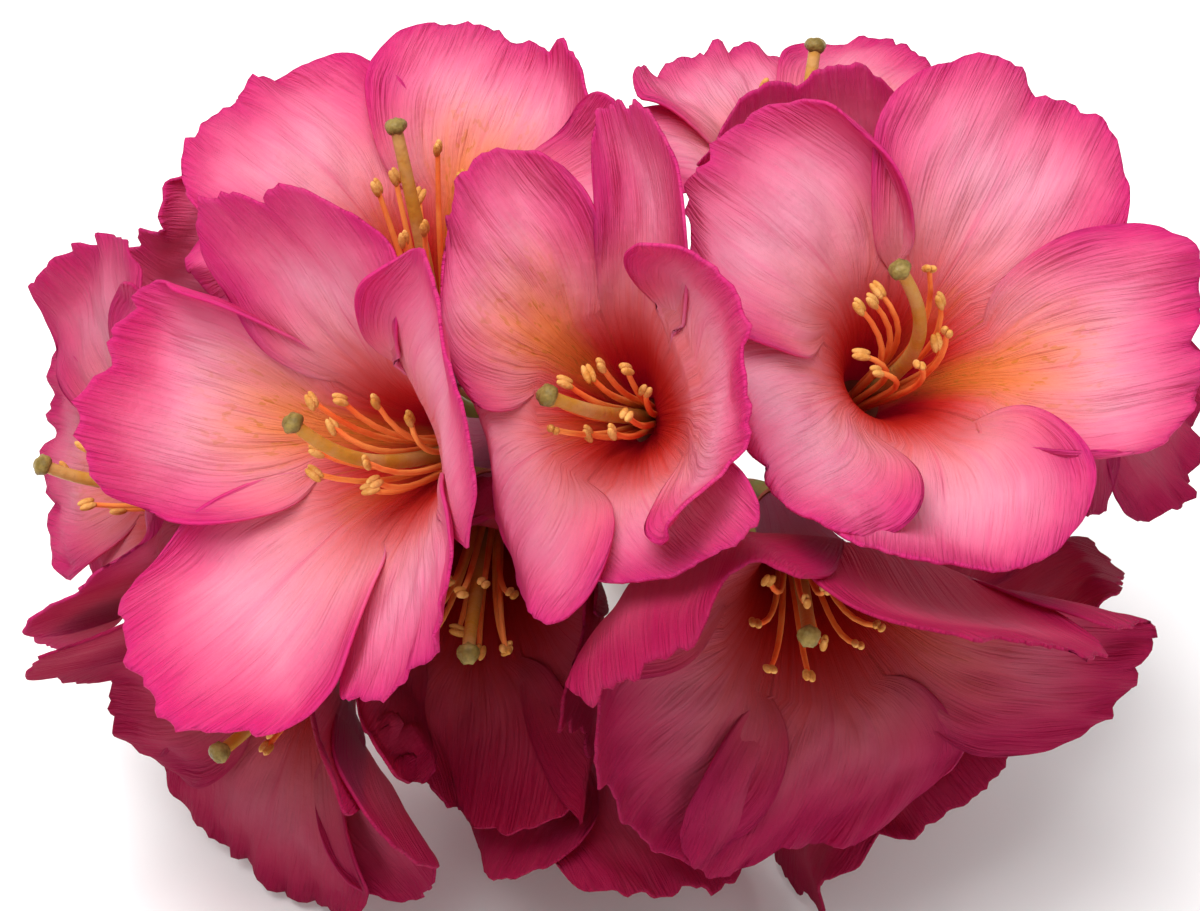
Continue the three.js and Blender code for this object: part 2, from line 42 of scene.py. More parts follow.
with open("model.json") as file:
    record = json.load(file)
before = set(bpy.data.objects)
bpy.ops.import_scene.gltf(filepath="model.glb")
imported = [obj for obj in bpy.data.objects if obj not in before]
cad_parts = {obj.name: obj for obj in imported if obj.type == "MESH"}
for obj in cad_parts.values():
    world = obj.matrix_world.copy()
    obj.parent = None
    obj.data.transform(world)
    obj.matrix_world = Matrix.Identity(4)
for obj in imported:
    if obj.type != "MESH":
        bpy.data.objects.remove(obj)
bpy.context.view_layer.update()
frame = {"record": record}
MM = 0.001

# ---- sizes shared with the solids, in millimetres and degrees ----
LEAN = 55  # how far the axis of the head is tipped from straight up
TUBE_LENGTH = 30  # of a corolla, along its wall, from its foot to where the lobes part
TUBE_FOOT = 4.2  # radius of a corolla at its foot
TUBE_SLOPE = (6, 44)  # how far the wall leans from the axis, at the foot and at the mouth
FACE_HEIGHT = 36  # of the middle of the open face above the foot
LOBES = 5
LOBE_LENGTH = 32
LOBE_HALF_WIDTH = 22
LOBE_WIDEST = 0.5  # share of a lobe's length at which it is at its widest
LOBE_SHOULDER = 0.52  # share of its length at which its sides end and its round tip begins
LOBE_NOTCH = (0.05, 0.16)  # depth and half width of the notch in its tip, as shares of the lobe
LOBE_TWIST = 0.07  # how much its anticlockwise side is raised over its neighbour
RUFFLE = 3.5  # height of the broad waves along its margin
SCALLOP = 0.02  # how far the outline of its rim swings out and in, as a share of the lobe
MARGIN = 0.4  # share of its half width at which its margin begins to curl
SEAM = 0.5  # half the gap that neighbouring blooms keep, beside half a petal's thickness
LAP = 1.1  # how much further from a neighbour every other lobe of a bloom is held
PRESS = 2  # how softly a petal bends where it meets its neighbour
PRESS_REACH = 110  # blooms further apart than this don't press on each other
RISE = 0.9  # how much a petal that meets a neighbour turns up along the plane between them
TUCK = -0.5  # the same, as a share of RISE, for a petal that slips under its neighbour's
TUCK_LEAN = 12  # how far the plane leans where petals slip under
GAP = 0.3  # between two solids that touch
STYLE_LENGTH = 50  # straight up from a corolla's foot
STYLE_BENDS = (16, 34)  # heights up to which a style is pulled straight, and at which it is bowed
STYLE_RADIUS = (1.3, 0.95)  # at the ovary and under the stigma
STIGMA_RADIUS = 1.7
OVARY = (2.2, 3)  # radius and height
STAMEN_SPREAD = 8  # of the anthers round the style
FILAMENT_BENDS = (1.2, 14, 26)  # heights at which a filament starts and is pulled aside
FILAMENT_OUT = (0.6, 1.3)  # how far out it starts, and then stands, in radii of the ovary
FILAMENT_FOLLOWS = (0.8, 0.4)  # how much its middle and its end lean as the style's do
STALK_RADIUS = (1.7, 1.35)  # of a flower stalk, at the stem and under the bloom
STALK_SWING = 0.35  # share of a stalk's reach in which it leaves the stem and joins the bloom
STALK_SQUARE = 0.8  # how square to the stem it leaves: 1 is square, 0 straight at its bloom
SEAT_HEIGHT = (0.8, 2.6)  # of the rim at the top of a stalk, and of all that widens toward it
STEM_RADIUS = (5.6, 3.6)  # at the cut and at the tip
STEM_TIP = (2, -1, -6)  # the top of the stem, in the head's frame
STEM_BEND = (4, -3, -50)  # where its two straight halves would meet
STEM_FOOT = (5, -12, -95)  # the middle of the cut

# ---- sizes of the visual model alone ----
OPENING = 1.8  # how early a lobe opens from the tube's round: at 1, only by its tip
TWISTING = 4  # the same of its twist
RIM_REACH = 1.08  # the furthest that a rim may swing out, as a share of the lobe
FRILL = 0.01  # how far its small teeth stand out, as a share of the lobe
PUCKER = 0.5  # height of the dents all over a lobe
FLUTES = 0.9  # height of the folds that run out to its margin
CRINKLE = 0.5  # height of the fine crinkles close to its margin
SWELL = 0.7  # how far the seam between two blooms swings to either side
LAPS = (0, 1, 0, 1, 2)  # how many LAPs the lobes of a bloom are held back
CROWD = 0.6  # how much the points of a lobe crowd to its sides at its rim
THROAT_MARGIN = (14, 0.4)  # how far from a margin the throat counts, and up to which share
TUBE_MARGIN = 30  # how far from a margin the tube counts
DORSAL_REACH = 1.2  # in lobes, from the middle of the flecked one to where its flush ends
WELD = 0.00002  # metres within which the points of tube and lobes are merged
OVARY_MIDDLE = 0.55  # its height, as a share of the ovary's
OVARY_FULL = (0.98, 0.7)  # how much of its radius and height the ovary's ball fills
STIGMA_SINK = 0.2  # how far the stigma sits below the end of the style
STIGMA_FLAT = 0.75  # its half height, as a share of its radius
STIGMA_RIDGES = (5, 0.08)  # their number, and their height as a share of the radius
STAMENS = 10
STAMEN_HEIGHT = (30, 43)  # of the lowest and the highest anther above a corolla's foot
STAMEN_UNEVEN = 1.5  # how much higher or lower an anther may stand
STAMEN_CLOSEST = 0.7  # the least share of the spread at which an anther stands
STAMEN_DRIFT = 1  # how far an anther may stand to one side
FILAMENT_RADIUS = 0.5
FILAMENT_TAPER = (1.2, 0.8)  # its thickness at its foot and its end
ANTHER = (0.85, 1.5)  # half the width and half the length of an anther
ANTHER_HALVES = (0.5, 0.7)  # how far out they lie and how thick they are, as shares of its width
ANTHER_TILT = 0.7  # how far an anther may be turned from its filament
ANTHER_SIDE = (0.3, 0.5, 0.8)  # the two halves of each anther lie square to this direction
SEAT_RIM = 0.4  # how far the seat stands out round a corolla's foot
SEAT_NECK = 0.9  # the seat's thinner end, as a share of the stalk
CUT_MIDDLE = 0.3  # share of the cut's radius within which a face is wood
CUT_FACING = 0.95  # how closely the other faces of the cut look along the stem
SHARP = math.radians(40)  # edges sharper than this stay sharp

# ---- how finely the pieces are made ----
COLUMNS = 52  # across a lobe
TUBE_ROWS = 10
LOBE_ROWS = 40
WALL_STEPS = 96  # in which the lean of a wall is summed up
BEND_STEPS = 12  # in which the bend across a lobe is summed up
STEM_STEPS = 400  # in which the length of the stem is measured
STYLE_FACETS = (24, 4)  # along a limb, and round a quarter of it
FILAMENT_FACETS = (10, 2)
STALK_FACETS = (16, 4)
STEM_FACETS = (48, 8)
KNOB_FACETS = (16, 10)  # round a ball, and from pole to pole
ANTHER_FACETS = (10, 8)
SEAT_FACETS = 24

# ---- waves along the seams between blooms: radians per millimetre, and their shift ----
SWELL_WAVES = (((0.19, 0, 0.13), 0.5), ((0, 0.21, -0.16), 0), ((0.17, 0.17, 0.17), 0))

# ---- waves over a lobe: height, radians across it and along it, and shares of its phase ----
BROAD_WAVES = ((1, 5.2, 0, 1), (0.6, 9.1, 0, -1.3))
FLUTE_WAVES = ((1, 14, 5, 2), (0.7, 21, -4, -1))
FINE_WAVES = ((1, 31, 0, 3), (0.8, 47, 4, -1), (0.6, 9, 23, 1))
TOOTH_WAVES = ((1, 17, 0, 1), (0.8, 29, 0, -2), (0.5, 53, 0, 1))
DENT_WAVES = (((1, 11, 5, 1), (1, 3, 10, -2)), ((0.6, 19, -7, 1), (1, 0, 8, 1)))

# ---- the petals' finish ----
VEINS = (30, 2.2, 9)  # noise steps across a lobe, along it and from lobe to lobe
STREAKS = 7  # the same across a lobe
FLECKS = (17, 13, 2)
PINK_BAND = (3, 17)  # millimetres from the margin between which the pink fades inwards
MARGIN_BAND = (-2, 7)
VEIN_BAND = (1, 12)
RIM_BAND = (0.1, 1.6)
PLEAT_BAND = (0.5, 8)
GLOW_BAND = (0.9, 1.6)  # outwards: 0 at the foot of the tube, 1 at its mouth and 2 at the rim
FLUSH_BAND = (0.66, 1.26)
THROAT_BAND = (0.3, 0.86)
BLOTCH_BAND = (1.0, 1.75)
BLOTCH_SIDES = (0.15, 0.75)  # shares of the lobe's half width
RIB_SIDES = (0.006, 0.03)
RIB_BAND = (1.8, 1.0)  # outwards, as the others, and fading that way
SPECULAR = 0.12
PETAL_ROUGHNESS = 0.6
PETAL_TRANSLUCENT = 0.45
PETAL_BUMP = (0.6, 0.0011)  # strength, and height in metres
SKIN_BUMP = (0.5, 0.0004)

# ---- the stage, in metres ----
FLOOR_SIZE = 6
FLOOR_ROUGHNESS = 0.8
VIEW_WIDTH = 0.1875  # what the camera sees from side to side at the head's heart
SENSOR = 36
WORLD_STRENGTH = 0.68
LIGHTS = (  # name, place from the head's heart, size and power
    ("key", (-0.3, -0.35, 1.4), 1.1, 32),
    ("fill", (0.9, -1.0, 0.5), 1.2, 2),
)


def lobe(reach, lean, cup=0.1, curl=(0, 0), swing=0, twist=0, width=1):
    """One lobe of a bloom.

    Its reach and width are shares of the usual ones. Lean is how far it leans from the bloom's
    axis, half way and at its tip. Cup is how hollow it is, and curl is how far its two margins turn
    in, the anticlockwise one first. Swing takes its tip anticlockwise, in millimetres, and twist
    raises its anticlockwise side.
    """
    return {"reach": reach, "lean": lean, "cup": cup, "curl": curl, "swing": swing, "twist": twist,
            "width": width}


OPEN = lobe(1, (84, 104))
FLAT = lobe(1, (78, 90))
ERECT = lobe(1, (50, 30), cup=0.3)

# Each bloom has the middle of its face and the way it faces, in the head's frame, the turn of its
# first lobe, its size, and how far below the stem's tip its stalk is attached. It takes room from
# all its neighbours by its claim, and from some by what "yields" adds. It lies over those named in
# "over", by degrees. Its style ends at "to" and is bowed by "bow".
BLOOMS = {
    "left": {
        "middle": (-36, 0, 46), "facing": (-0.6, -0.06, 0.8),
        "turn": 165, "size": 0.93, "attach": 5,
        "claim": 1, "yields": {"middle": -6},
        "style": {"to": (-1, 6), "bow": (2, -6)},
        "over": {"middle": 32, "upper_left": 20, "far_left": 15, "lower_left": 20,
                 "lower_middle": 20, "back_left": 15},
        "lobes": [
            lobe(1.15, (70, 92), curl=(80, 110)),
            lobe(1.15, (76, 88), cup=0.3, curl=(0, 60)),
            lobe(0.75, (66, 76), cup=0.3, curl=(60, 0), swing=-11, width=0.85),
            lobe(1.06, (64, 94), cup=0.3, curl=(70, -30), swing=5, twist=0.1, width=1.1),
            lobe(0.95, (72, 84), cup=0.2, curl=(-40, 10), swing=7, twist=0.1, width=0.84),
        ],
    },
    "middle": {
        "middle": (2, 9, 60), "facing": (-0.18, 0.12, 0.97),
        "turn": 140, "size": 0.92, "attach": 0,
        "yields": {"lower_right": -4},
        "style": {"to": (-8, -2), "bow": (0, -5)},
        "over": {"right": 15, "upper_left": 25, "upper_right": 20, "lower_middle": 25,
                 "lower_right": 8},
        "lobes": [
            lobe(0.95, (64, 78), cup=0.2, swing=-5, twist=-0.15, width=0.95),
            lobe(0.7, (70, 80), swing=8, twist=0.15, width=1.15),
            lobe(0.66, (64, 82), cup=0.3, swing=10, twist=0.1, width=0.84),
            lobe(0.85, (22, 28), cup=1.1, curl=(0, -70), swing=3, width=1.35),
            lobe(1.0, (74, 78), cup=0.6, curl=(0, 20), swing=13, twist=0.14, width=0.48),
        ],
    },
    "right": {
        "middle": (47, 16, 50), "facing": (0.24, 0.24, 0.94),
        "turn": -6, "size": 0.93, "attach": 8,
        "claim": 9, "yields": {"middle": 2.5},
        "style": {"to": (-8, 8), "bow": (6, 0)},
        "over": {"upper_right": 8, "lower_right": 2, "far_right": 20, "back_right": 20},
        "lobes": [
            lobe(1.06, (70, 92), curl=(0, 130), swing=8),
            lobe(1.15, (74, 90)),
            lobe(1.1, (76, 84), curl=(30, 130), swing=7, width=1.1),
            lobe(1.08, (56, 84), cup=-0.3, swing=1, twist=0.25, width=1.12),
            lobe(0.95, (76, 98), swing=-12, twist=0.15, width=1.1),
        ],
    },
    "upper_left": {
        "middle": (-25, 34, 28), "facing": (0, 0.62, 0.78),
        "turn": 70, "size": 0.93, "attach": 12,
        "claim": 2,
        "style": {"to": (-6, 10), "bow": (-2, -1)},
        "over": {"upper_right": 15, "back_left": 15},
        "lobes": [FLAT, FLAT, OPEN, OPEN, FLAT],
    },
    "upper_right": {
        "middle": (31, 49, 12), "facing": (0.06, 0.84, 0.5),
        "turn": 54, "size": 0.8, "attach": 13,
        "claim": 3,
        "style": {"to": (2, 12), "bow": (0, 2)},
        "over": {"back_right": 10},
        "lobes": [FLAT, lobe(0.85, (78, 90), swing=-5), lobe(0.75, (78, 90)), ERECT, OPEN],
    },
    "lower_right": {
        "middle": (34, -28, 42), "facing": (0.15, -0.5, 0.85),
        "turn": 348, "size": 1.05, "attach": 16,
        "claim": 4,
        "style": {"to": (-6, 11), "bow": (-2, -4)},
        "over": {"lower_middle": 10, "under": 8, "under_right": 8},
        "lobes": [
            lobe(1.05, (76, 84), swing=5, width=0.8),
            lobe(1.05, (84, 100), swing=-8),
            lobe(1.2, (74, 82), cup=0.2, swing=11, width=1.12),
            lobe(0.85, (78, 86), swing=4, twist=-0.1),
            lobe(0.7, (72, 80), swing=-12, twist=-0.2, width=0.95),
        ],
    },
    "lower_middle": {
        "middle": (-20, -25, 29), "facing": (-0.1, -0.55, 0.83),
        "turn": 270, "size": 0.95, "attach": 10,
        "over": {"under": 8},
        "lobes": [lobe(0.75, (78, 90)), OPEN, OPEN, OPEN, OPEN],
    },
    "lower_left": {
        "middle": (-52, -39, 14), "facing": (-0.55, -0.6, 0.58),
        "turn": 200, "size": 0.92, "attach": 20,
        "over": {"lower_middle": 8, "under": 15, "far_left": 10},
        "lobes": [
            lobe(0.8, (80, 92), twist=0.05),
            lobe(1.05, (80, 94), swing=-4, twist=0.05, width=1.1),
            lobe(0.9, (78, 90), curl=(0, 90), swing=-2, width=1.1),
            OPEN,
            OPEN,
        ],
    },
    "far_left": {
        "middle": (-75, -4, 6), "facing": (-0.93, -0.05, 0.36),
        "turn": 180, "size": 0.88, "attach": 27,
        "lobes": [FLAT, lobe(0.78, (80, 94)), lobe(0.84, (74, 82), swing=-4), OPEN, OPEN],
    },
    "far_right": {
        "middle": (76, 24, 6), "facing": (0.9, 0, 0.43),
        "turn": -45, "size": 0.8, "attach": 22,
        "over": {"back_right": 10},
        "lobes": [lobe(1.25, (70, 66)), lobe(0.55, (84, 104)), lobe(0.6, (84, 104)), OPEN, OPEN],
    },
    "under": {
        "middle": (-4, -48, -4), "facing": (0, -0.95, -0.3),
        "turn": 270, "size": 0.85, "attach": 34,
        "lobes": [OPEN, OPEN, lobe(1.0, (56, 62)), lobe(0.8, (70, 80)), OPEN],
    },
    "under_right": {
        "middle": (50, -36, -12), "facing": (0.66, -0.62, -0.42),
        "turn": 294, "size": 0.8, "attach": 40,
        "lobes": [
            OPEN,
            lobe(1.2, (84, 104), curl=(0, 60), swing=-6),
            lobe(0.85, (78, 90)),
            lobe(1.2, (78, 90)),
            OPEN,
        ],
    },
    "back_left": {
        "middle": (-50, 30, -32), "facing": (-0.66, 0.5, -0.56),
        "turn": 140, "size": 0.85, "attach": 38,
        "lobes": [OPEN, OPEN, OPEN, OPEN, OPEN],
    },
    "back_right": {
        "middle": (47, 27, -45), "facing": (0.6, 0.5, -0.62),
        "turn": 60, "size": 0.85, "attach": 44,
        "lobes": [OPEN, OPEN, OPEN, OPEN, OPEN],
    },
}
# How much painted shade darkens each bloom, from 0, the palest, to 1, the darkest: the lower blooms
# and those at the back are painted as if they lie in shade.
PAINTED_SHADE = {
    "left": 0.1, "middle": 0.12, "right": 0.12, "upper_left": 0.12, "upper_right": 0.15,
    "lower_right": 0.8, "lower_middle": 1.0, "lower_left": 0.85, "far_left": 0.4, "far_right": 0.75,
    "under": 1.0, "under_right": 1.0, "back_left": 0.35, "back_right": 0.4,
}


def unit(v):
    """The direction of a vector."""
    return v / np.linalg.norm(v)


def mix(a, b, t):
    """From a to b by share t."""
    return a + (b - a) * t


def smooth(t):
    """An even step from 0 to 1."""
    c = np.clip(t, 0, 1)
    return c * c * (3 - 2 * c)


# ---- the head's own frame: x to the right, y up its face, z out of it ----
TILT = np.array(Matrix.Rotation(math.radians(LEAN), 3, "X"))
CUT = next(m for m in frame["record"]["mounts"] if m["name"] == "cut_end")
HEART = np.array(CUT["pos_m"]) / MM - TILT @ np.array(STEM_FOOT)


def to_row(points):
    """From the head's frame, in millimetres, to the part's frame, in metres."""
    return (np.asarray(points) @ TILT.T + HEART) * MM


def to_head(bloom, points):
    """From a bloom's own frame, z along its axis, to the head's."""
    axes = np.array([bloom["side"], bloom["up"], bloom["axis"]])
    return bloom["foot"] + np.asarray(points) @ axes * bloom["size"]


# ---- where the blooms stand, and how they give way to each other ----
def stand(bloom, index):
    """Works out a bloom's axes and foot from its middle and the way it faces."""
    axis = unit(np.array(bloom["facing"], float))
    side = unit(np.array([1.0, 0, 0]) - axis * axis[0])
    middle = np.array(bloom["middle"], float)
    bloom.update(axis=axis, side=side, up=np.cross(axis, side), at=middle, index=index)
    bloom["seed"] = 1.7 * index
    bloom["foot"] = middle - axis * FACE_HEIGHT * bloom["size"]


def claim(bloom, other_name):
    """How far a bloom takes room from a neighbour."""
    return bloom.get("claim", 0) + bloom.get("yields", {}).get(other_name, 0)


def parting(bloom, other, name, other_name):
    """The bent plane between two blooms: upright between their tubes, then leaning."""
    upright = unit(bloom["at"] - other["at"])
    shift = claim(other, name) - claim(bloom, other_name)
    point = (bloom["at"] + other["at"]) / 2 + upright * shift
    lean = bloom.get("over", {}).get(other_name, 0) - other.get("over", {}).get(name, 0)
    front = bloom["axis"] + other["axis"]
    front = unit(front - upright * front.dot(upright))
    turned = math.radians(lean)
    sides = []
    for normal in (upright, upright * math.cos(turned) + front * math.sin(turned)):
        sides.append((normal, unit(bloom["axis"] - normal * bloom["axis"].dot(normal))))
    sign = 1 if bloom["index"] < other["index"] else -1
    return point, sides, lean > 0, sign, TUCK if lean <= -TUCK_LEAN else 1


def arrange():
    """Stands every bloom in the head, and parts it from its neighbours."""
    for index, bloom in enumerate(BLOOMS.values()):
        stand(bloom, index)
    for name, bloom in BLOOMS.items():
        bloom["partings"] = [
            parting(bloom, other, name, other_name)
            for other_name, other in BLOOMS.items()
            if other_name != name and np.linalg.norm(other["at"] - bloom["at"]) < PRESS_REACH
        ]


arrange()


def swell(p):
    """How far the seam between two blooms swings to one side, at places in the head."""
    return SWELL * sum(np.sin(p @ np.array(along) + shift) for along, shift in SWELL_WAVES)


def pressed(bloom, p, room, amount):
    """Bends petals where they come nearer than room to a neighbour's seam."""
    # Softly three times, turned up less each time, and then once more exactly.
    for outward, softness in ((RISE, PRESS), (RISE / 3, PRESS), (0, PRESS), (0, 0)):
        for point, sides, over, sign, rise in bloom["partings"]:
            offset = p - point
            reach = np.array([offset @ normal for normal, _ in sides])
            nearer = np.argmin(reach, axis=0)
            pick = 1 - nearer if over else nearer
            normal, outwards = (np.array(pair)[pick] for pair in zip(*sides))
            clear = np.where(pick == 0, reach[0], reach[1]) - room - sign * swell(p)
            push = amount * (np.hypot(clear, softness) - clear) / 2
            p = p + normal * push[:, None] + outwards * (push * outward * rise)[:, None]
    return p


# ---- the surface of a corolla ----
def wall(radius, height, length, lean_at):
    """The wall in a plane through the axis: radius, height and lean for a share of its length."""
    middles = np.radians(lean_at((np.arange(WALL_STEPS) + 0.5) / WALL_STEPS))
    radii = radius + np.concatenate([[0], np.cumsum(np.sin(middles))]) * length / WALL_STEPS
    heights = height + np.concatenate([[0], np.cumsum(np.cos(middles))]) * length / WALL_STEPS
    ends = np.linspace(0, 1, WALL_STEPS + 1)
    return lambda share: (np.interp(share, ends, radii), np.interp(share, ends, heights),
                          np.radians(lean_at(share)))


def through(start, half, end):
    """A curve through a value at its start, half way and at its end."""
    return lambda t: start * (1 - t) * (1 - 2 * t) + 4 * half * t * (1 - t) + end * t * (2 * t - 1)


TUBE = wall(TUBE_FOOT, 0, TUBE_LENGTH, lambda t: mix(*TUBE_SLOPE, t**1.6))
MOUTH_RADIUS, MOUTH_HEIGHT, _ = (float(v) for v in TUBE(1.0))


def bent_across(x, half, bend, curl):
    """How far sideways and forward a point x from the midrib lies, on a bent and curled strip."""
    step = x / BEND_STEPS
    turned = np.radians(np.where(x > 0, curl[0], -curl[1]))
    sideways = np.zeros_like(x)
    forward = np.zeros_like(x)
    for i in range(BEND_STEPS):
        at = step * (i + 0.5)
        past = np.maximum(0, (np.abs(at) / half - MARGIN) / (1 - MARGIN))
        angle = bend * at + turned * past * past
        sideways += np.cos(angle) * step
        forward += np.sin(angle) * step
    return sideways, forward


def waves(terms, across, share, phase):
    """The sum of some waves at places of a lobe."""
    return sum(height * np.sin(wide * across + long * share + shift * phase)
               for height, wide, long, shift in terms)


def ruffle(bloom, k, across, share):
    """The waves of lobe k: broad ones, dents, folds out to the margin and crinkles close to it."""
    at = (across, share, bloom["seed"] + 2.1 * k)
    side = np.abs(across)
    broad = RUFFLE * waves(BROAD_WAVES, *at) * mix(0.25, 1, across**2) * share**1.6
    dents = sum(waves([one], *at) * waves([other], *at) for one, other in DENT_WAVES)
    flutes = waves(FLUTE_WAVES, *at) * np.maximum(share**5, side**5 * share)
    fine = waves(FINE_WAVES, *at) * np.maximum(share**7, side**9 * share)
    return broad + PUCKER * dents * smooth(share * 3) + FLUTES * flutes + CRINKLE * fine


def lobe_surface(bloom, k, across, along):
    """Points of lobe k in the bloom's frame, and how far each lies from the free margin."""
    shape = bloom["lobes"][k]
    length = LOBE_LENGTH * shape["reach"]
    # Its outline: a round tip with a notch, and a rim that swings and has small teeth.
    rounded = mix(LOBE_SHOULDER, 1, np.sqrt(1 - across**2))
    notch = 1 - LOBE_NOTCH[0] * np.exp(-((across / LOBE_NOTCH[1]) ** 2))
    phase = bloom["seed"] * 3 + k
    teeth = FRILL * waves(TOOTH_WAVES, across, 0, phase) * along**3
    scallop = SCALLOP * np.sin(6 * across + phase) * along**2
    share = np.minimum(along * rounded * notch * (1 + teeth + scallop), RIM_REACH)
    # Its midrib, and a straight piece beyond where that ends.
    radius, height, lean = bloom["walls"][k](np.minimum(share, 1))
    beyond = np.maximum(share - 1, 0) * length
    radius = radius + np.sin(lean) * beyond
    height = height + np.cos(lean) * beyond
    # Across the midrib it opens from the tube's round to its own hollow and curl.
    widening = np.sin(np.minimum(1, share / LOBE_WIDEST) * math.pi / 2)
    half = mix(MOUTH_RADIUS * math.pi / LOBES, LOBE_HALF_WIDTH * shape["width"], widening)
    x = across * half
    opening = smooth(share * OPENING)
    bend = mix(1 / MOUTH_RADIUS, shape["cup"] / LOBE_HALF_WIDTH, opening)
    sideways, forward = bent_across(x, half, bend, [angle * opening for angle in shape["curl"]])
    lift = ruffle(bloom, k, across, share)
    lift = lift + (LOBE_TWIST + shape["twist"] * opening) * x * smooth(share * TWISTING)
    r = radius - forward * mix(1, np.cos(lean), opening) - lift * np.cos(lean)
    z = height + forward * mix(0, np.sin(lean), opening) + lift * np.sin(lean)
    side = sideways + shape["swing"] * share**2
    turn = math.radians(bloom["turn"] + 360 / LOBES * k)
    x, y = (r * math.cos(turn) - side * math.sin(turn), r * math.sin(turn) + side * math.cos(turn))
    depth, end = THROAT_MARGIN
    to_side = (1 - np.abs(across)) * half + depth * (1 - smooth(share / end))
    to_rim = (1 - along) * rounded * length
    return np.stack([x, y, z], 1), np.minimum(to_side, to_rim)


def tube_surface(bloom, around, share):
    """Points of the tube: around counts lobes, starting half a lobe before the first."""
    radius, height, _ = TUBE(share)
    turn = np.radians(bloom["turn"] + 360 / LOBES * (around - 0.5))
    return np.stack([radius * np.cos(turn), radius * np.sin(turn), height], 1)


# ---- modelling helpers ----
def deselect():
    """Nothing is selected afterwards."""
    bpy.ops.object.select_all(action="DESELECT")


def activate(*objects):
    """Selects the objects, the first as the active one."""
    deselect()
    for each in objects:
        each.select_set(True)
    bpy.context.view_layer.objects.active = objects[0]


def added(operator, **settings):
    """The object that an operator adds, with nothing else selected."""
    deselect()
    operator(**settings)
    return bpy.context.active_object


def joined(*pieces):
    """The pieces as one object, the first one's."""
    activate(*pieces)
    bpy.ops.object.join()
    return bpy.context.active_object


def aim(thing, direction, pointer="Z"):
    """Turns an object so that its pointer axis runs along a direction of the part's frame."""
    thing.rotation_mode = "QUATERNION"
    thing.rotation_quaternion = Vector(direction).to_track_quat(pointer, "Y")


def settle(piece):
    """Puts a piece's place, turn and size into its mesh."""
    activate(piece)
    bpy.ops.object.transform_apply(location=True, rotation=True, scale=True)


def grid(columns, rows):
    """A sheet of faces as a new object."""
    return added(bpy.ops.mesh.primitive_grid_add, size=1, x_subdivisions=columns,
                 y_subdivisions=rows)


def place(sheet, points, marks):
    """Moves a sheet's points to places in the head's frame, and marks each with its attributes."""
    sheet.data.vertices.foreach_set("co", to_row(points).astype(np.float32).ravel())
    for key, values in marks.items():
        attribute = sheet.data.attributes.new(key, "FLOAT", "POINT")
        attribute.data.foreach_set("value", np.broadcast_to(values, len(points)).astype(np.float32))
    sheet.data.update()


def limb(points, radii, facets):
    """A round limb along a cubic curve given by four points in the head's frame, as a mesh."""
    made = added(bpy.ops.curve.primitive_bezier_curve_add)
    made.data.dimensions = "3D"
    made.data.bevel_depth = MM
    made.data.resolution_u, made.data.bevel_resolution = facets
    made.data.use_fill_caps = True
    start, leave, arrive, end = (Vector(p) for p in to_row(np.array(points, float)))
    first, last = made.data.splines[0].bezier_points
    for point in (first, last):
        point.handle_left_type = point.handle_right_type = "FREE"
    first.co, first.handle_right, first.handle_left = start, leave, start - (leave - start)
    last.co, last.handle_left, last.handle_right = end, arrive, end + (end - arrive)
    first.radius, last.radius = radii
    bpy.ops.object.convert(target="MESH")
    return bpy.context.active_object


def limb_end(points):
    """Where a limb ends, and which way it runs there."""
    return np.array(points[3]), unit(np.array(points[3]) - np.array(points[2]))


def ball(at, along, radii, facets):
    """A round body at a place in the head's frame, with one radius along a direction."""
    made = added(bpy.ops.mesh.primitive_uv_sphere_add, segments=facets[0], ring_count=facets[1],
                 radius=MM)
    made.scale = (radii[0], radii[0], radii[1])
    aim(made, TILT @ along)
    made.location = Vector(to_row(at))
    settle(made)
    return made


def paint(material, *pieces):
    """Gives pieces one material."""
    for piece in pieces:
        piece.data.materials.clear()
        piece.data.materials.append(material)


def hand_over(piece, name, node):
    """Names a finished piece and lets it stand for a solid."""
    piece.name = name
    piece.data.name = name
    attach(piece, "root")
    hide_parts(node)


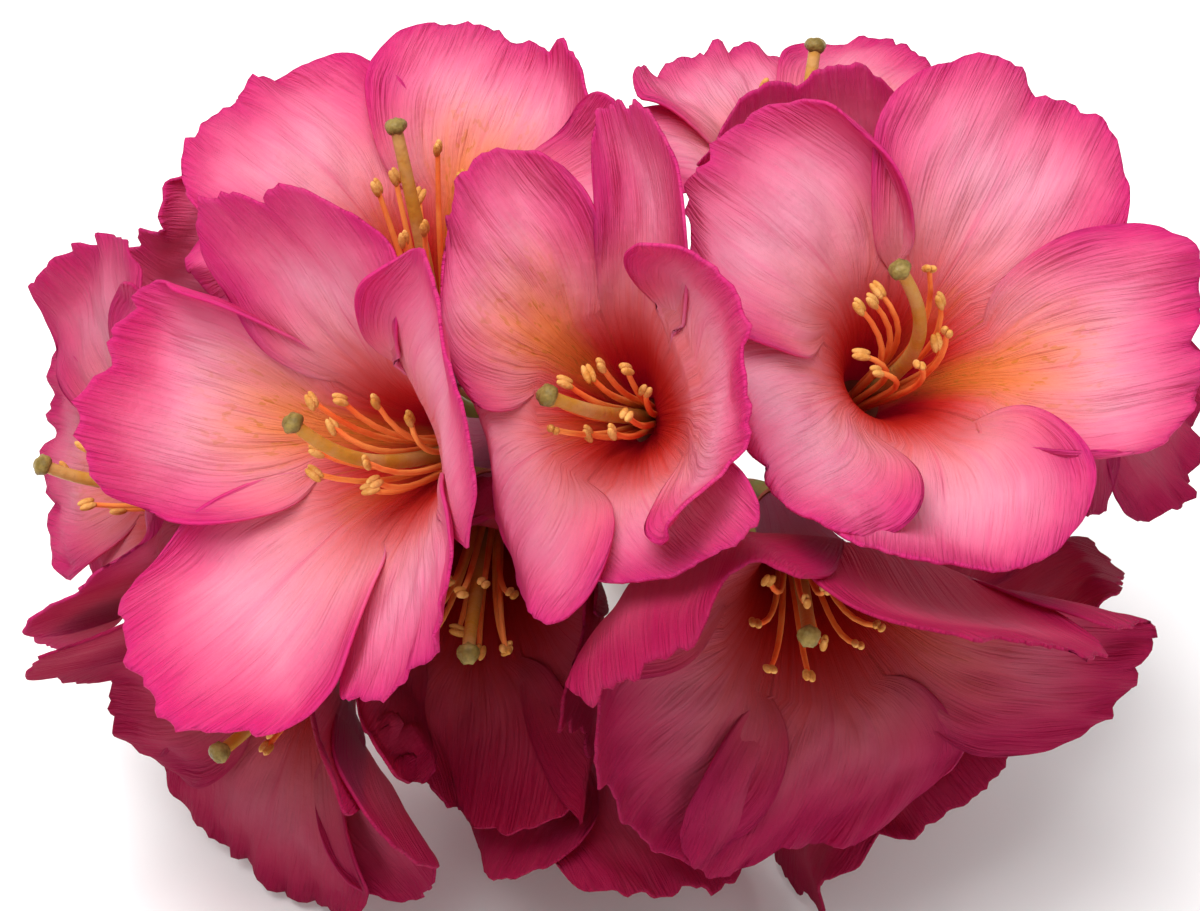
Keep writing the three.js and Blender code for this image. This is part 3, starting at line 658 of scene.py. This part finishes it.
# ---- materials ----
class Shader:
    """A material and short ways to add nodes to it."""

    def __init__(self, name):
        self.material = bpy.data.materials.new(name)
        self.material.use_nodes = True
        self.tree = self.material.node_tree
        self.surface = self.tree.nodes["Principled BSDF"]
        self.output = self.tree.nodes["Material Output"]

    def node(self, kind, **settings):
        """A new node with its settings."""
        made = self.tree.nodes.new(kind)
        for key, value in settings.items():
            setattr(made, key, value)
        return made

    def put(self, socket, value):
        """Links a socket to another, or sets its number, vector or colour."""
        if isinstance(value, bpy.types.NodeSocket):
            self.tree.links.new(value, socket)
        elif isinstance(value, (int, float)):
            socket.default_value = value
        else:
            socket.default_value = (*value[:3], 1) if len(socket.default_value) == 4 else value

    def math(self, operation, a, b=0.0):
        """One step of arithmetic."""
        made = self.node("ShaderNodeMath", operation=operation)
        self.put(made.inputs[0], a)
        self.put(made.inputs[1], b)
        return made.outputs[0]

    def plus(self, a, b):
        """The sum of two numbers."""
        return self.math("ADD", a, b)

    def minus(self, a, b):
        """The difference of two numbers."""
        return self.math("SUBTRACT", a, b)

    def times(self, a, b):
        """The product of two numbers."""
        return self.math("MULTIPLY", a, b)

    def uneven(self, noise, amount):
        """A noise made to swing by an amount round zero."""
        return self.times(self.minus(noise, 0.5), amount)

    def rise(self, value, low, high, ends=(0.0, 1.0)):
        """An even step from 0 to 1 as a value grows from low to high."""
        made = self.node("ShaderNodeMapRange", interpolation_type="SMOOTHSTEP")
        self.put(made.inputs["Value"], value)
        self.put(made.inputs["From Min"], low)
        self.put(made.inputs["From Max"], high)
        self.put(made.inputs["To Min"], ends[0])
        self.put(made.inputs["To Max"], ends[1])
        return made.outputs["Result"]

    def fall(self, value, low, high):
        """An even step from 1 to 0 as a value grows from low to high."""
        return self.rise(value, low, high, (1.0, 0.0))

    def blend(self, share, a, b, kind="MIX"):
        """From colour a to colour b by a share."""
        made = self.node("ShaderNodeMix", data_type="RGBA", blend_type=kind)
        self.put(made.inputs["Factor"], share)
        self.put(made.inputs[6], a)
        self.put(made.inputs[7], b)
        return made.outputs[2]

    def tint(self, color, mask, strength, other):
        """A colour turned to another where a mask is 1, by a strength."""
        return self.blend(self.times(mask, strength), color, other)

    def mark(self, name):
        """One of the piece's own attributes."""
        return self.node("ShaderNodeAttribute", attribute_name=name).outputs["Fac"]

    def combine(self, *parts):
        """A vector of three numbers."""
        made = self.node("ShaderNodeCombineXYZ")
        for socket, value in zip(made.inputs, parts):
            self.put(socket, value)
        return made.outputs[0]

    def place(self):
        """The place on the piece."""
        return self.node("ShaderNodeTexCoord").outputs["Object"]

    def noise(self, vector, scale, detail=2.0, rough=0.5):
        """A cloudy noise."""
        made = self.node("ShaderNodeTexNoise")
        self.put(made.inputs["Vector"], vector)
        self.put(made.inputs["Scale"], scale)
        self.put(made.inputs["Detail"], detail)
        self.put(made.inputs["Roughness"], rough)
        return made.outputs["Fac"]

    def bump(self, height, strength, distance):
        """A relief."""
        made = self.node("ShaderNodeBump")
        self.put(made.inputs["Height"], height)
        self.put(made.inputs["Strength"], strength)
        self.put(made.inputs["Distance"], distance)
        return made.outputs["Normal"]

    def finish(self, color, roughness, normal=None):
        """Sets the surface and gives the material."""
        self.put(self.surface.inputs["Base Color"], color)
        self.put(self.surface.inputs["Roughness"], roughness)
        self.surface.inputs["Specular IOR Level"].default_value = SPECULAR
        if normal is not None:
            self.put(self.surface.inputs["Normal"], normal)
        return self.material

    def let_through(self, color, share, normal):
        """Lets a share of the light through the surface, in a colour."""
        glow = self.node("ShaderNodeBsdfTranslucent")
        self.put(glow.inputs["Color"], color)
        self.put(glow.inputs["Normal"], normal)
        both = self.node("ShaderNodeMixShader")
        both.inputs[0].default_value = share
        self.tree.links.new(self.surface.outputs[0], both.inputs[1])
        self.tree.links.new(glow.outputs[0], both.inputs[2])
        self.tree.links.new(both.outputs[0], self.output.inputs[0])


def petal(name, colors, inside):
    """The skin of a petal, seen from within the bloom or from its back."""
    s = Shader(name)
    across, outward, margin = s.mark("across"), s.mark("outward"), s.mark("margin")
    blush, dorsal, number = s.mark("blush"), s.mark("dorsal"), s.mark("number")
    beside, where = s.math("ABSOLUTE", across), s.place()

    # Fine veins that fan out from the throat, and coarser streaks among them.
    fan = [s.times(mark, steps) for mark, steps in zip((across, outward, number), VEINS)]
    fine = s.noise(s.combine(*fan), 1.0, 3, 0.6)
    streak = s.noise(s.combine(s.times(across, STREAKS), outward, number), 1.3)

    # Pale in the middle, deep pink at the margin, with an uneven edge between.
    edge = s.plus(margin, s.uneven(s.noise(where, 38, 3), 12))
    edge = s.plus(edge, s.uneven(fine, 7))
    # Painted shade: on the shaded blooms the deep pink reaches further in.
    edge = s.minus(edge, s.times(blush, 6))
    color = s.blend(s.fall(edge, *PINK_BAND), colors["centre"], colors["pink"])
    color = s.blend(s.fall(edge, *MARGIN_BAND), color, colors["margin"])
    color = s.tint(color, s.rise(streak, 0.45, 0.75), 0.35, colors["pink"])
    veins = s.times(s.rise(fine, 0.48, 0.66), s.fall(margin, *VEIN_BAND))
    color = s.tint(color, veins, 0.35, colors["margin"])
    rib = s.times(s.fall(beside, *RIB_SIDES), s.rise(outward, *RIB_BAND))
    color = s.tint(color, rib, 0.4, colors["margin"])

    # Warm towards the throat, and on one lobe a yellow flush with flecks.
    if inside:
        throat = s.plus(outward, s.uneven(streak, 0.3))
        color = s.tint(color, s.fall(throat, *GLOW_BAND), 0.6, colors["glow"])
        color = s.blend(s.fall(throat, *FLUSH_BAND), color, colors["flush"])
        color = s.blend(s.fall(throat, *THROAT_BAND), color, colors["throat"])
        flush = s.times(s.fall(beside, *BLOTCH_SIDES), s.fall(throat, *BLOTCH_BAND))
        # Painted shade: the yellow flush fades away on the shaded blooms.
        flush = s.times(s.times(flush, dorsal), s.minus(1.0, s.times(blush, 0.85)))
        color = s.tint(color, flush, 0.85, colors["yellow"])
        spots = s.combine(s.times(across, FLECKS[0]), s.times(outward, FLECKS[1]), FLECKS[2])
        spots = s.times(s.rise(s.noise(spots, 1.2, 1), 0.59, 0.66), flush)
        color = s.tint(color, spots, 0.8, colors["fleck"])

    color = s.tint(color, s.fall(margin, *RIM_BAND), 0.3, colors["rim"])
    # Painted shade: each bloom is multiplied towards the deep colour by how far it is shaded, a
    # little less on the petals' backs.
    painted_shade_color = s.blend(1.0, color, colors["deep"], "MULTIPLY")
    color = s.tint(color, blush, 0.94 if inside else 0.85, painted_shade_color)

    # The veins stand out, most of all as pleats near the margin.
    pleats = s.plus(s.times(s.fall(margin, *PLEAT_BAND), 2.2), 0.9)
    height = s.plus(s.times(fine, pleats), s.times(streak, 0.9))
    height = s.plus(height, s.times(s.noise(where, 900), 0.25))
    normal = s.bump(height, *PETAL_BUMP)
    # The light let through is half the petal's colour and half the margin's pink, turned towards
    # the throat's red on the blooms with painted shade.
    lit = s.blend(0.5, color, s.blend(blush, colors["margin"], colors["throat"]))
    s.let_through(lit, PETAL_TRANSLUCENT, normal)
    return s.finish(color, PETAL_ROUGHNESS, normal)


def living(name, low, high, roughness, scale, stretch=(1, 1, 1)):
    """A mottled plant skin for stalks, stem, style and stamens."""
    s = Shader(name)
    turned = s.node("ShaderNodeMapping")
    turned.inputs["Scale"].default_value = stretch
    s.put(turned.inputs["Vector"], s.place())
    cloud = s.noise(turned.outputs[0], scale, 4, 0.6)
    color = s.blend(s.rise(cloud, 0.35, 0.65), low, high)
    normal = s.bump(s.noise(turned.outputs[0], scale * 5, 3), *SKIN_BUMP)
    return s.finish(color, roughness, normal)


def plain(name, color, roughness):
    """A plain, slightly uneven finish."""
    s = Shader(name)
    cloud = s.noise(s.place(), 3)
    return s.finish(s.blend(cloud, color, [c * 0.96 for c in color]), roughness)


# ---- settings ----
def color_property(label, text, default):
    """A colour setting."""
    return bpy.props.FloatVectorProperty(name=label, description=text, subtype="COLOR", size=3,
                                         min=0, max=1, default=default)


def length_property(label, text, default):
    """A length setting, in metres."""
    return bpy.props.FloatProperty(name=label, description=text, default=default, unit="LENGTH")


class FLOWERHEAD_PG_petals(bpy.types.PropertyGroup):
    """Thickness and colours of the petals"""

    thickness: length_property("Thickness", "Thickness of a petal", 0.0005)
    centre: color_property("Centre", "Palest part of a lobe", (0.92, 0.42, 0.56))
    pink: color_property("Pink", "Between a lobe's centre and its margin", (0.86, 0.15, 0.33))
    margin: color_property("Margin", "Deep pink near a lobe's margin", (0.78, 0.035, 0.24))
    rim: color_property("Rim", "The very edge of a lobe", (0.68, 0.03, 0.25))
    # The colour of the painted shade that darkens the lower blooms.
    deep: color_property("Deep", "What deepens the shaded blooms", (0.36, 0.05, 0.11))
    flush: color_property("Flush", "Where the lobes meet the tube", (0.82, 0.05, 0.022))
    glow: color_property("Glow", "The warm foot of the lobes", (0.92, 0.24, 0.18))
    throat: color_property("Throat", "Down in the tube", (0.62, 0.004, 0.004))
    yellow: color_property("Blotch", "The flush on the flecked lobe", (0.9, 0.3, 0.03))
    fleck: color_property("Flecks", "The flecks of the flecked lobe", (0.62, 0.24, 0.02))
    back: color_property("Back", "The palest part of a petal's back", (0.84, 0.33, 0.5))


class FLOWERHEAD_PG_stamens(bpy.types.PropertyGroup):
    """Number and colours of the stamens, and colours of the pistil"""

    count: bpy.props.IntProperty(name="Stamens", description="Stamens of each bloom",
                                 default=STAMENS, min=2)
    style: color_property("Style", "The style", (0.46, 0.21, 0.025))
    stigma: color_property("Stigma", "The knob at the style's end", (0.13, 0.085, 0.02))
    stigma_light: color_property("Stigma, lighter", "Its lighter spots", (0.26, 0.18, 0.05))
    filament: color_property("Filament", "The thread of a stamen", (0.8, 0.13, 0.03))
    filament_light: color_property("Filament, lighter", "Its lighter parts", (0.9, 0.32, 0.08))
    anther: color_property("Anther", "The anther of a stamen", (0.5, 0.2, 0.035))
    anther_light: color_property("Anther, lighter", "Its lighter spots", (0.66, 0.34, 0.1))


class FLOWERHEAD_PG_stems(bpy.types.PropertyGroup):
    """Colours of the stalks and the stem"""

    green: color_property("Green", "Young stalks", (0.22, 0.28, 0.06))
    red: color_property("Red", "Where the light reddens a stalk", (0.36, 0.09, 0.05))
    bark: color_property("Bark", "The skin of the stem", (0.16, 0.13, 0.06))
    wood: color_property("Wood", "The cut end of the stem", (0.62, 0.55, 0.33))


class FLOWERHEAD_PG_stage(bpy.types.PropertyGroup):
    """The floor and the camera"""

    floor: color_property("Floor", "The floor under the head", (0.94, 0.94, 0.94))
    camera: length_property("Camera distance", "From the head's heart to the camera", 0.75)


# ---- operators ----
class FLOWERHEAD_OT_petals(bpy.types.Operator):
    """Make the petals of every bloom"""

    bl_idname = "flowerhead.petals"
    bl_label = "Petals"

    def execute(self, context):
        settings = context.scene.flowerhead_petals
        names = ("centre", "pink", "margin", "rim", "deep", "glow", "flush", "throat", "yellow",
                 "fleck")
        colors = {key: tuple(getattr(settings, key)) for key in names}
        inside = petal("petal_inside", colors, True)
        outside = petal("petal_back", {**colors, "centre": tuple(settings.back)}, False)
        for name, bloom in BLOOMS.items():
            self.corolla(name, bloom, settings.thickness, inside, outside)
        return {"FINISHED"}

    def corolla(self, name, bloom, thickness, inside, outside):
        """The petals of one bloom: five lobes on a tube, as one thickened sheet."""
        room = thickness / MM / 2 + SEAM
        bloom["walls"] = [
            wall(MOUTH_RADIUS, MOUTH_HEIGHT, LOBE_LENGTH * shape["reach"],
                 through(TUBE_SLOPE[1], *shape["lean"]))
            for shape in bloom["lobes"]
        ]
        # Each sheet is marked with how much painted shade its bloom gets.
        tube = self.tube_sheet(bloom, room, PAINTED_SHADE[name])
        lobes = [self.lobe_sheet(bloom, k, room, PAINTED_SHADE[name]) for k in range(LOBES)]
        piece = joined(tube, *lobes)
        bpy.ops.object.mode_set(mode="EDIT")
        bpy.ops.mesh.select_all(action="SELECT")
        bpy.ops.mesh.remove_doubles(threshold=WELD)
        bpy.ops.object.mode_set(mode="OBJECT")
        piece.data.materials.append(outside)
        piece.data.materials.append(inside)
        shell = piece.modifiers.new("thickness", "SOLIDIFY")
        shell.thickness = thickness
        shell.offset = 0
        shell.material_offset = 1
        shell.material_offset_rim = 0
        bpy.ops.object.modifier_apply(modifier="thickness")
        bpy.ops.object.shade_smooth()
        hand_over(piece, f"petals_{name}", f"corolla_{name}")

    def tube_sheet(self, bloom, room, blush):
        """The tube of a bloom, as a sheet."""
        around, share = np.meshgrid(np.linspace(0, LOBES, LOBES * COLUMNS + 1),
                                    np.linspace(0, 1, TUBE_ROWS + 1))
        around, share = around.ravel(), share.ravel()
        sheet = grid(LOBES * COLUMNS, TUBE_ROWS)
        points = pressed(bloom, to_head(bloom, tube_surface(bloom, around, share)), room, share)
        dorsal = np.clip(DORSAL_REACH - np.abs(around - 0.5), 0, 1)
        place(sheet, points, {"blush": blush, "across": 2 * (around % 1) - 1, "outward": share,
                              "margin": TUBE_MARGIN, "dorsal": dorsal, "number": np.floor(around)})
        return sheet

    def lobe_sheet(self, bloom, k, room, blush):
        """Lobe k of a bloom, as a sheet."""
        across, along = np.meshgrid(np.linspace(-1, 1, COLUMNS + 1),
                                    np.linspace(0, 1, LOBE_ROWS + 1))
        across, along = across.ravel(), along.ravel()
        # Towards the rim the columns crowd to the sides, where it turns down to the shoulders.
        across = mix(across, np.sin(across * math.pi / 2), CROWD * along)
        spare = LAP * LAPS[k] * smooth(along * 2)
        sheet = grid(COLUMNS, LOBE_ROWS)
        local, margin = lobe_surface(bloom, k, across, along)
        points = pressed(bloom, to_head(bloom, local), room + spare, np.ones(len(local)))
        place(sheet, points, {"blush": blush, "across": across, "outward": 1 + along,
                              "margin": margin, "dorsal": float(k == 0), "number": float(k)})
        return sheet


class FLOWERHEAD_OT_stamens(bpy.types.Operator):
    """Make the ovary, style, stigma and stamens of every bloom"""

    bl_idname = "flowerhead.stamens"
    bl_label = "Stamens"

    def execute(self, context):
        settings = context.scene.flowerhead_stamens
        pale = tuple(mix(c, 1, 0.06) for c in settings.style)
        skins = {"style": living("style_skin", tuple(settings.style), pale, 0.35, 160)}
        for part, roughness, scale in (("stigma", 0.3, 400), ("filament", 0.4, 60),
                                       ("anther", 0.6, 500)):
            low, high = (tuple(getattr(settings, key)) for key in (part, f"{part}_light"))
            skins[part] = living(f"{part}_skin", low, high, roughness, scale)
        for name, bloom in BLOOMS.items():
            self.pistil(name, bloom, settings.count, skins)
        return {"FINISHED"}

    def pistil(self, name, bloom, count, skins):
        """The middle of one bloom."""
        style = {"to": (2, 4), "bow": (0, -4), **bloom.get("style", {})}
        path = to_head(bloom, [(0, 0, 0), (0, 0, STYLE_BENDS[0]), (*style["bow"], STYLE_BENDS[1]),
                               (*style["to"], STYLE_LENGTH)])
        rod = limb(path, STYLE_RADIUS, STYLE_FACETS)
        middle = to_head(bloom, [(0, 0, OVARY[1] * OVARY_MIDDLE)])[0]
        radii = [extent * bloom["size"] * full for extent, full in zip(OVARY, OVARY_FULL)]
        base = ball(middle, bloom["axis"], radii, KNOB_FACETS)
        at, way = limb_end(path)
        knob = ball(at - way * STIGMA_SINK, way, (STIGMA_RADIUS, STIGMA_RADIUS * STIGMA_FLAT),
                    KNOB_FACETS)
        ridges, height = STIGMA_RIDGES
        for vertex in knob.data.vertices:
            offset = vertex.co - Vector(to_row(at))
            turn = math.atan2(offset.x, offset.y)
            vertex.co += offset * height * math.cos(ridges * turn)
        paint(skins["style"], rod)
        paint(skins["filament"], base)
        paint(skins["stigma"], knob)
        pieces = [rod, base, knob]
        rng = np.random.default_rng(bloom["index"] + 1)
        for i in range(count):
            pieces += self.stamen(bloom, i, count, style, skins, rng)
        piece = joined(*pieces)
        bpy.ops.object.shade_smooth()
        hand_over(piece, f"stamens_{name}", f"pistil_{name}")

    def stamen(self, bloom, i, count, style, skins, rng):
        """Stamen i of a bloom: its filament and the two halves of its anther."""
        turn = math.radians(360 * (i + 0.5) / count) + bloom["seed"]
        spread = np.array([math.cos(turn), math.sin(turn)])
        height = mix(*STAMEN_HEIGHT, (i * 3 % count) / (count - 1))
        height += rng.uniform(-STAMEN_UNEVEN, STAMEN_UNEVEN)
        wide = STAMEN_SPREAD * rng.uniform(STAMEN_CLOSEST, 1.0)
        middle = spread * wide * 0.5 + np.array(style["bow"]) * FILAMENT_FOLLOWS[0]
        end = spread * wide + np.array(style["to"]) * FILAMENT_FOLLOWS[1]
        end += rng.uniform(-STAMEN_DRIFT, STAMEN_DRIFT, 2)
        path = [(*(spread * OVARY[0] * out), up) for out, up in zip(FILAMENT_OUT, FILAMENT_BENDS)]
        path = to_head(bloom, [*path, (*middle, FILAMENT_BENDS[2]), (*end, height)])
        radii = [FILAMENT_RADIUS * share for share in FILAMENT_TAPER]
        filament = limb(path, radii, FILAMENT_FACETS)
        at, way = limb_end(path)
        tilt = unit(way + rng.uniform(-ANTHER_TILT, ANTHER_TILT, 3))
        side = unit(np.cross(tilt, ANTHER_SIDE))
        out, thick = (ANTHER[0] * share for share in ANTHER_HALVES)
        halves = [ball(at + side * sign * out, tilt, (thick, ANTHER[1]), ANTHER_FACETS)
                  for sign in (-1, 1)]
        paint(skins["filament"], filament)
        paint(skins["anther"], *halves)
        return [filament, *halves]


# ---- the stem's middle line ----
STEM = [np.array(p, float) for p in (STEM_FOOT, STEM_BEND, STEM_TIP)]


def stem_point(t):
    """A point of the stem's middle line, and the way it runs there, t from the cut to the tip."""
    foot, bend, tip = STEM
    point = (1 - t) ** 2 * foot + 2 * t * (1 - t) * bend + t * t * tip
    return point, unit(2 * (1 - t) * (bend - foot) + 2 * t * (tip - bend))


def stem_share(distance):
    """The t at which the stem has a distance left to its tip, and what lies below as a share."""
    t = np.linspace(0, 1, STEM_STEPS)
    points = np.array([stem_point(v)[0] for v in t])
    run = np.concatenate([[0], np.cumsum(np.linalg.norm(np.diff(points, axis=0), axis=1))])
    below = 1 - distance / run[-1]
    return float(np.interp(below * run[-1], run, t)), below


class FLOWERHEAD_OT_stalks(bpy.types.Operator):
    """Make the flower stalks"""

    bl_idname = "flowerhead.stalks"
    bl_label = "Stalks"

    def execute(self, context):
        settings = context.scene.flowerhead_stems
        green, red = tuple(settings.green), tuple(settings.red)
        skin = living("stalk_skin", green, red, 0.55, 70)
        seat_skin = living("seat_skin", red, tuple(c * 0.5 for c in red), 0.55, 70)
        for name, bloom in BLOOMS.items():
            self.stalk(name, bloom, skin, seat_skin)
        return {"FINISHED"}

    def stalk(self, name, bloom, skin, seat_skin):
        """The stalk of one bloom, with the seat that carries it."""
        t, below = stem_share(bloom["attach"])
        heart, way = stem_point(t)
        seat = bloom["foot"] - bloom["axis"] * GAP
        out = seat - heart
        reach = np.linalg.norm(out)
        if bloom["attach"] > 0:
            out = out - way * STALK_SQUARE * out.dot(way)
        out = unit(out)
        along = abs(out.dot(way))
        across = math.sqrt(1 - along**2)
        beside = (mix(*STEM_RADIUS, below) + GAP + STALK_RADIUS[0] * along) / across
        start = beside if bloom["attach"] > 0 else (GAP + STALK_RADIUS[0] * across) / along
        path = [heart + out * start, heart + out * (start + reach * STALK_SWING),
                seat - bloom["axis"] * reach * STALK_SWING, seat]
        rod = limb(path, STALK_RADIUS, STALK_FACETS)
        rim = TUBE_FOOT * bloom["size"] + SEAT_RIM
        low, high = SEAT_HEIGHT
        cup = added(bpy.ops.mesh.primitive_cone_add, vertices=SEAT_FACETS, radius2=rim * MM,
                    radius1=STALK_RADIUS[1] * SEAT_NECK * MM, depth=(high - low) * MM)
        disc = added(bpy.ops.mesh.primitive_cylinder_add, vertices=SEAT_FACETS, radius=rim * MM,
                     depth=low * MM)
        for part, back in ((cup, (low + high) / 2), (disc, low / 2)):
            aim(part, TILT @ bloom["axis"])
            part.location = Vector(to_row(seat - bloom["axis"] * back))
            settle(part)
        paint(skin, rod, cup)
        paint(seat_skin, disc)
        piece = joined(rod, cup, disc)
        bpy.ops.object.shade_smooth_by_angle(angle=SHARP)
        hand_over(piece, f"flower_stalk_{name}", f"stalk_{name}")


class FLOWERHEAD_OT_stem(bpy.types.Operator):
    """Make the cut stem"""

    bl_idname = "flowerhead.stem"
    bl_label = "Stem"

    def execute(self, context):
        settings = context.scene.flowerhead_stems
        bark = living("bark", tuple(settings.bark), tuple(settings.green), 0.75, 90, (1, 1, 0.3))
        wood = living("cut_wood", tuple(settings.wood), [c * 0.8 for c in settings.wood], 0.8, 500)
        foot, bend, tip = STEM
        path = [foot, mix(foot, bend, 2 / 3), mix(tip, bend, 2 / 3), tip]
        rod = limb(path, STEM_RADIUS, STEM_FACETS)
        paint(bark, rod)
        rod.data.materials.append(wood)
        cut = Vector(to_row(foot))
        outwards = Vector(TILT @ -stem_point(0)[1])
        for face in rod.data.polygons:
            inner = (face.center - cut).length < CUT_MIDDLE * STEM_RADIUS[0] * MM
            if inner or face.normal.dot(outwards) > CUT_FACING:
                face.material_index = 1
        activate(rod)
        bpy.ops.object.shade_smooth_by_angle(angle=SHARP)
        hand_over(rod, "cut_stem", "stem")
        return {"FINISHED"}


class FLOWERHEAD_OT_stage(bpy.types.Operator):
    """Make the floor, the lights and the camera"""

    bl_idname = "flowerhead.stage"
    bl_label = "Stage"

    def execute(self, context):
        settings = context.scene.flowerhead_stage
        scene = context.scene
        floor = added(bpy.ops.mesh.primitive_plane_add, size=FLOOR_SIZE)
        floor.name = "floor"
        floor.data.materials.append(plain("pale_floor", tuple(settings.floor), FLOOR_ROUGHNESS))
        heart = Vector(HEART) * MM
        front = Vector((0, -math.sin(math.radians(LEAN)), math.cos(math.radians(LEAN))))
        camera = added(bpy.ops.object.camera_add)
        camera.name = "camera"
        camera.location = heart + front * settings.camera
        aim(camera, -front, "-Z")
        camera.data.sensor_width = SENSOR
        camera.data.lens = SENSOR * settings.camera / VIEW_WIDTH
        scene.camera = camera
        for name, offset, size, power in LIGHTS:
            light = added(bpy.ops.object.light_add, type="AREA", location=heart + Vector(offset))
            light.name = name
            light.data.size = size
            light.data.energy = power
            aim(light, -Vector(offset), "-Z")
        world = bpy.data.worlds.new("studio")
        world.use_nodes = True
        background = world.node_tree.nodes["Background"]
        background.inputs["Color"].default_value = (1, 1, 1, 1)
        background.inputs["Strength"].default_value = WORLD_STRENGTH
        scene.world = world
        scene.view_settings.view_transform = "Standard"
        return {"FINISHED"}


# ---- the panel ----
GROUPS = (  # each group of settings, and the operators that use it
    ("flowerhead_petals", FLOWERHEAD_PG_petals, (FLOWERHEAD_OT_petals,)),
    ("flowerhead_stamens", FLOWERHEAD_PG_stamens, (FLOWERHEAD_OT_stamens,)),
    ("flowerhead_stems", FLOWERHEAD_PG_stems, (FLOWERHEAD_OT_stalks, FLOWERHEAD_OT_stem)),
    ("flowerhead_stage", FLOWERHEAD_PG_stage, (FLOWERHEAD_OT_stage,)),
)


class FLOWERHEAD_PT_panel(bpy.types.Panel):
    """The flower head's settings and pieces"""

    bl_idname = "FLOWERHEAD_PT_panel"
    bl_label = "Flower head"
    bl_space_type = "VIEW_3D"
    bl_region_type = "UI"
    bl_category = "Flower head"

    def draw(self, context):
        for group, _, operators in GROUPS:
            box = self.layout.box()
            settings = getattr(context.scene, group)
            for key in settings.bl_rna.properties.keys():
                if key not in ("rna_type", "name"):
                    box.prop(settings, key)
            for operator in operators:
                box.operator(operator.bl_idname)


CLASSES = (
    *(settings for _, settings, _ in GROUPS),
    *(operator for _, _, operators in GROUPS for operator in operators),
    FLOWERHEAD_PT_panel,
)


def register():
    """Makes the settings, operators and panel known."""
    for each in CLASSES:
        bpy.utils.register_class(each)
    for group, settings, _ in GROUPS:
        setattr(bpy.types.Scene, group, bpy.props.PointerProperty(type=settings))


def unregister():
    """Takes them away again."""
    for group, _, _ in GROUPS:
        delattr(bpy.types.Scene, group)
    for each in reversed(CLASSES):
        bpy.utils.unregister_class(each)


def main():
    """Makes every piece in order."""
    register()
    bpy.ops.flowerhead.petals()
    bpy.ops.flowerhead.stamens()
    bpy.ops.flowerhead.stalks()
    bpy.ops.flowerhead.stem()
    bpy.ops.flowerhead.stage()


if __name__ == "__main__":
    main()
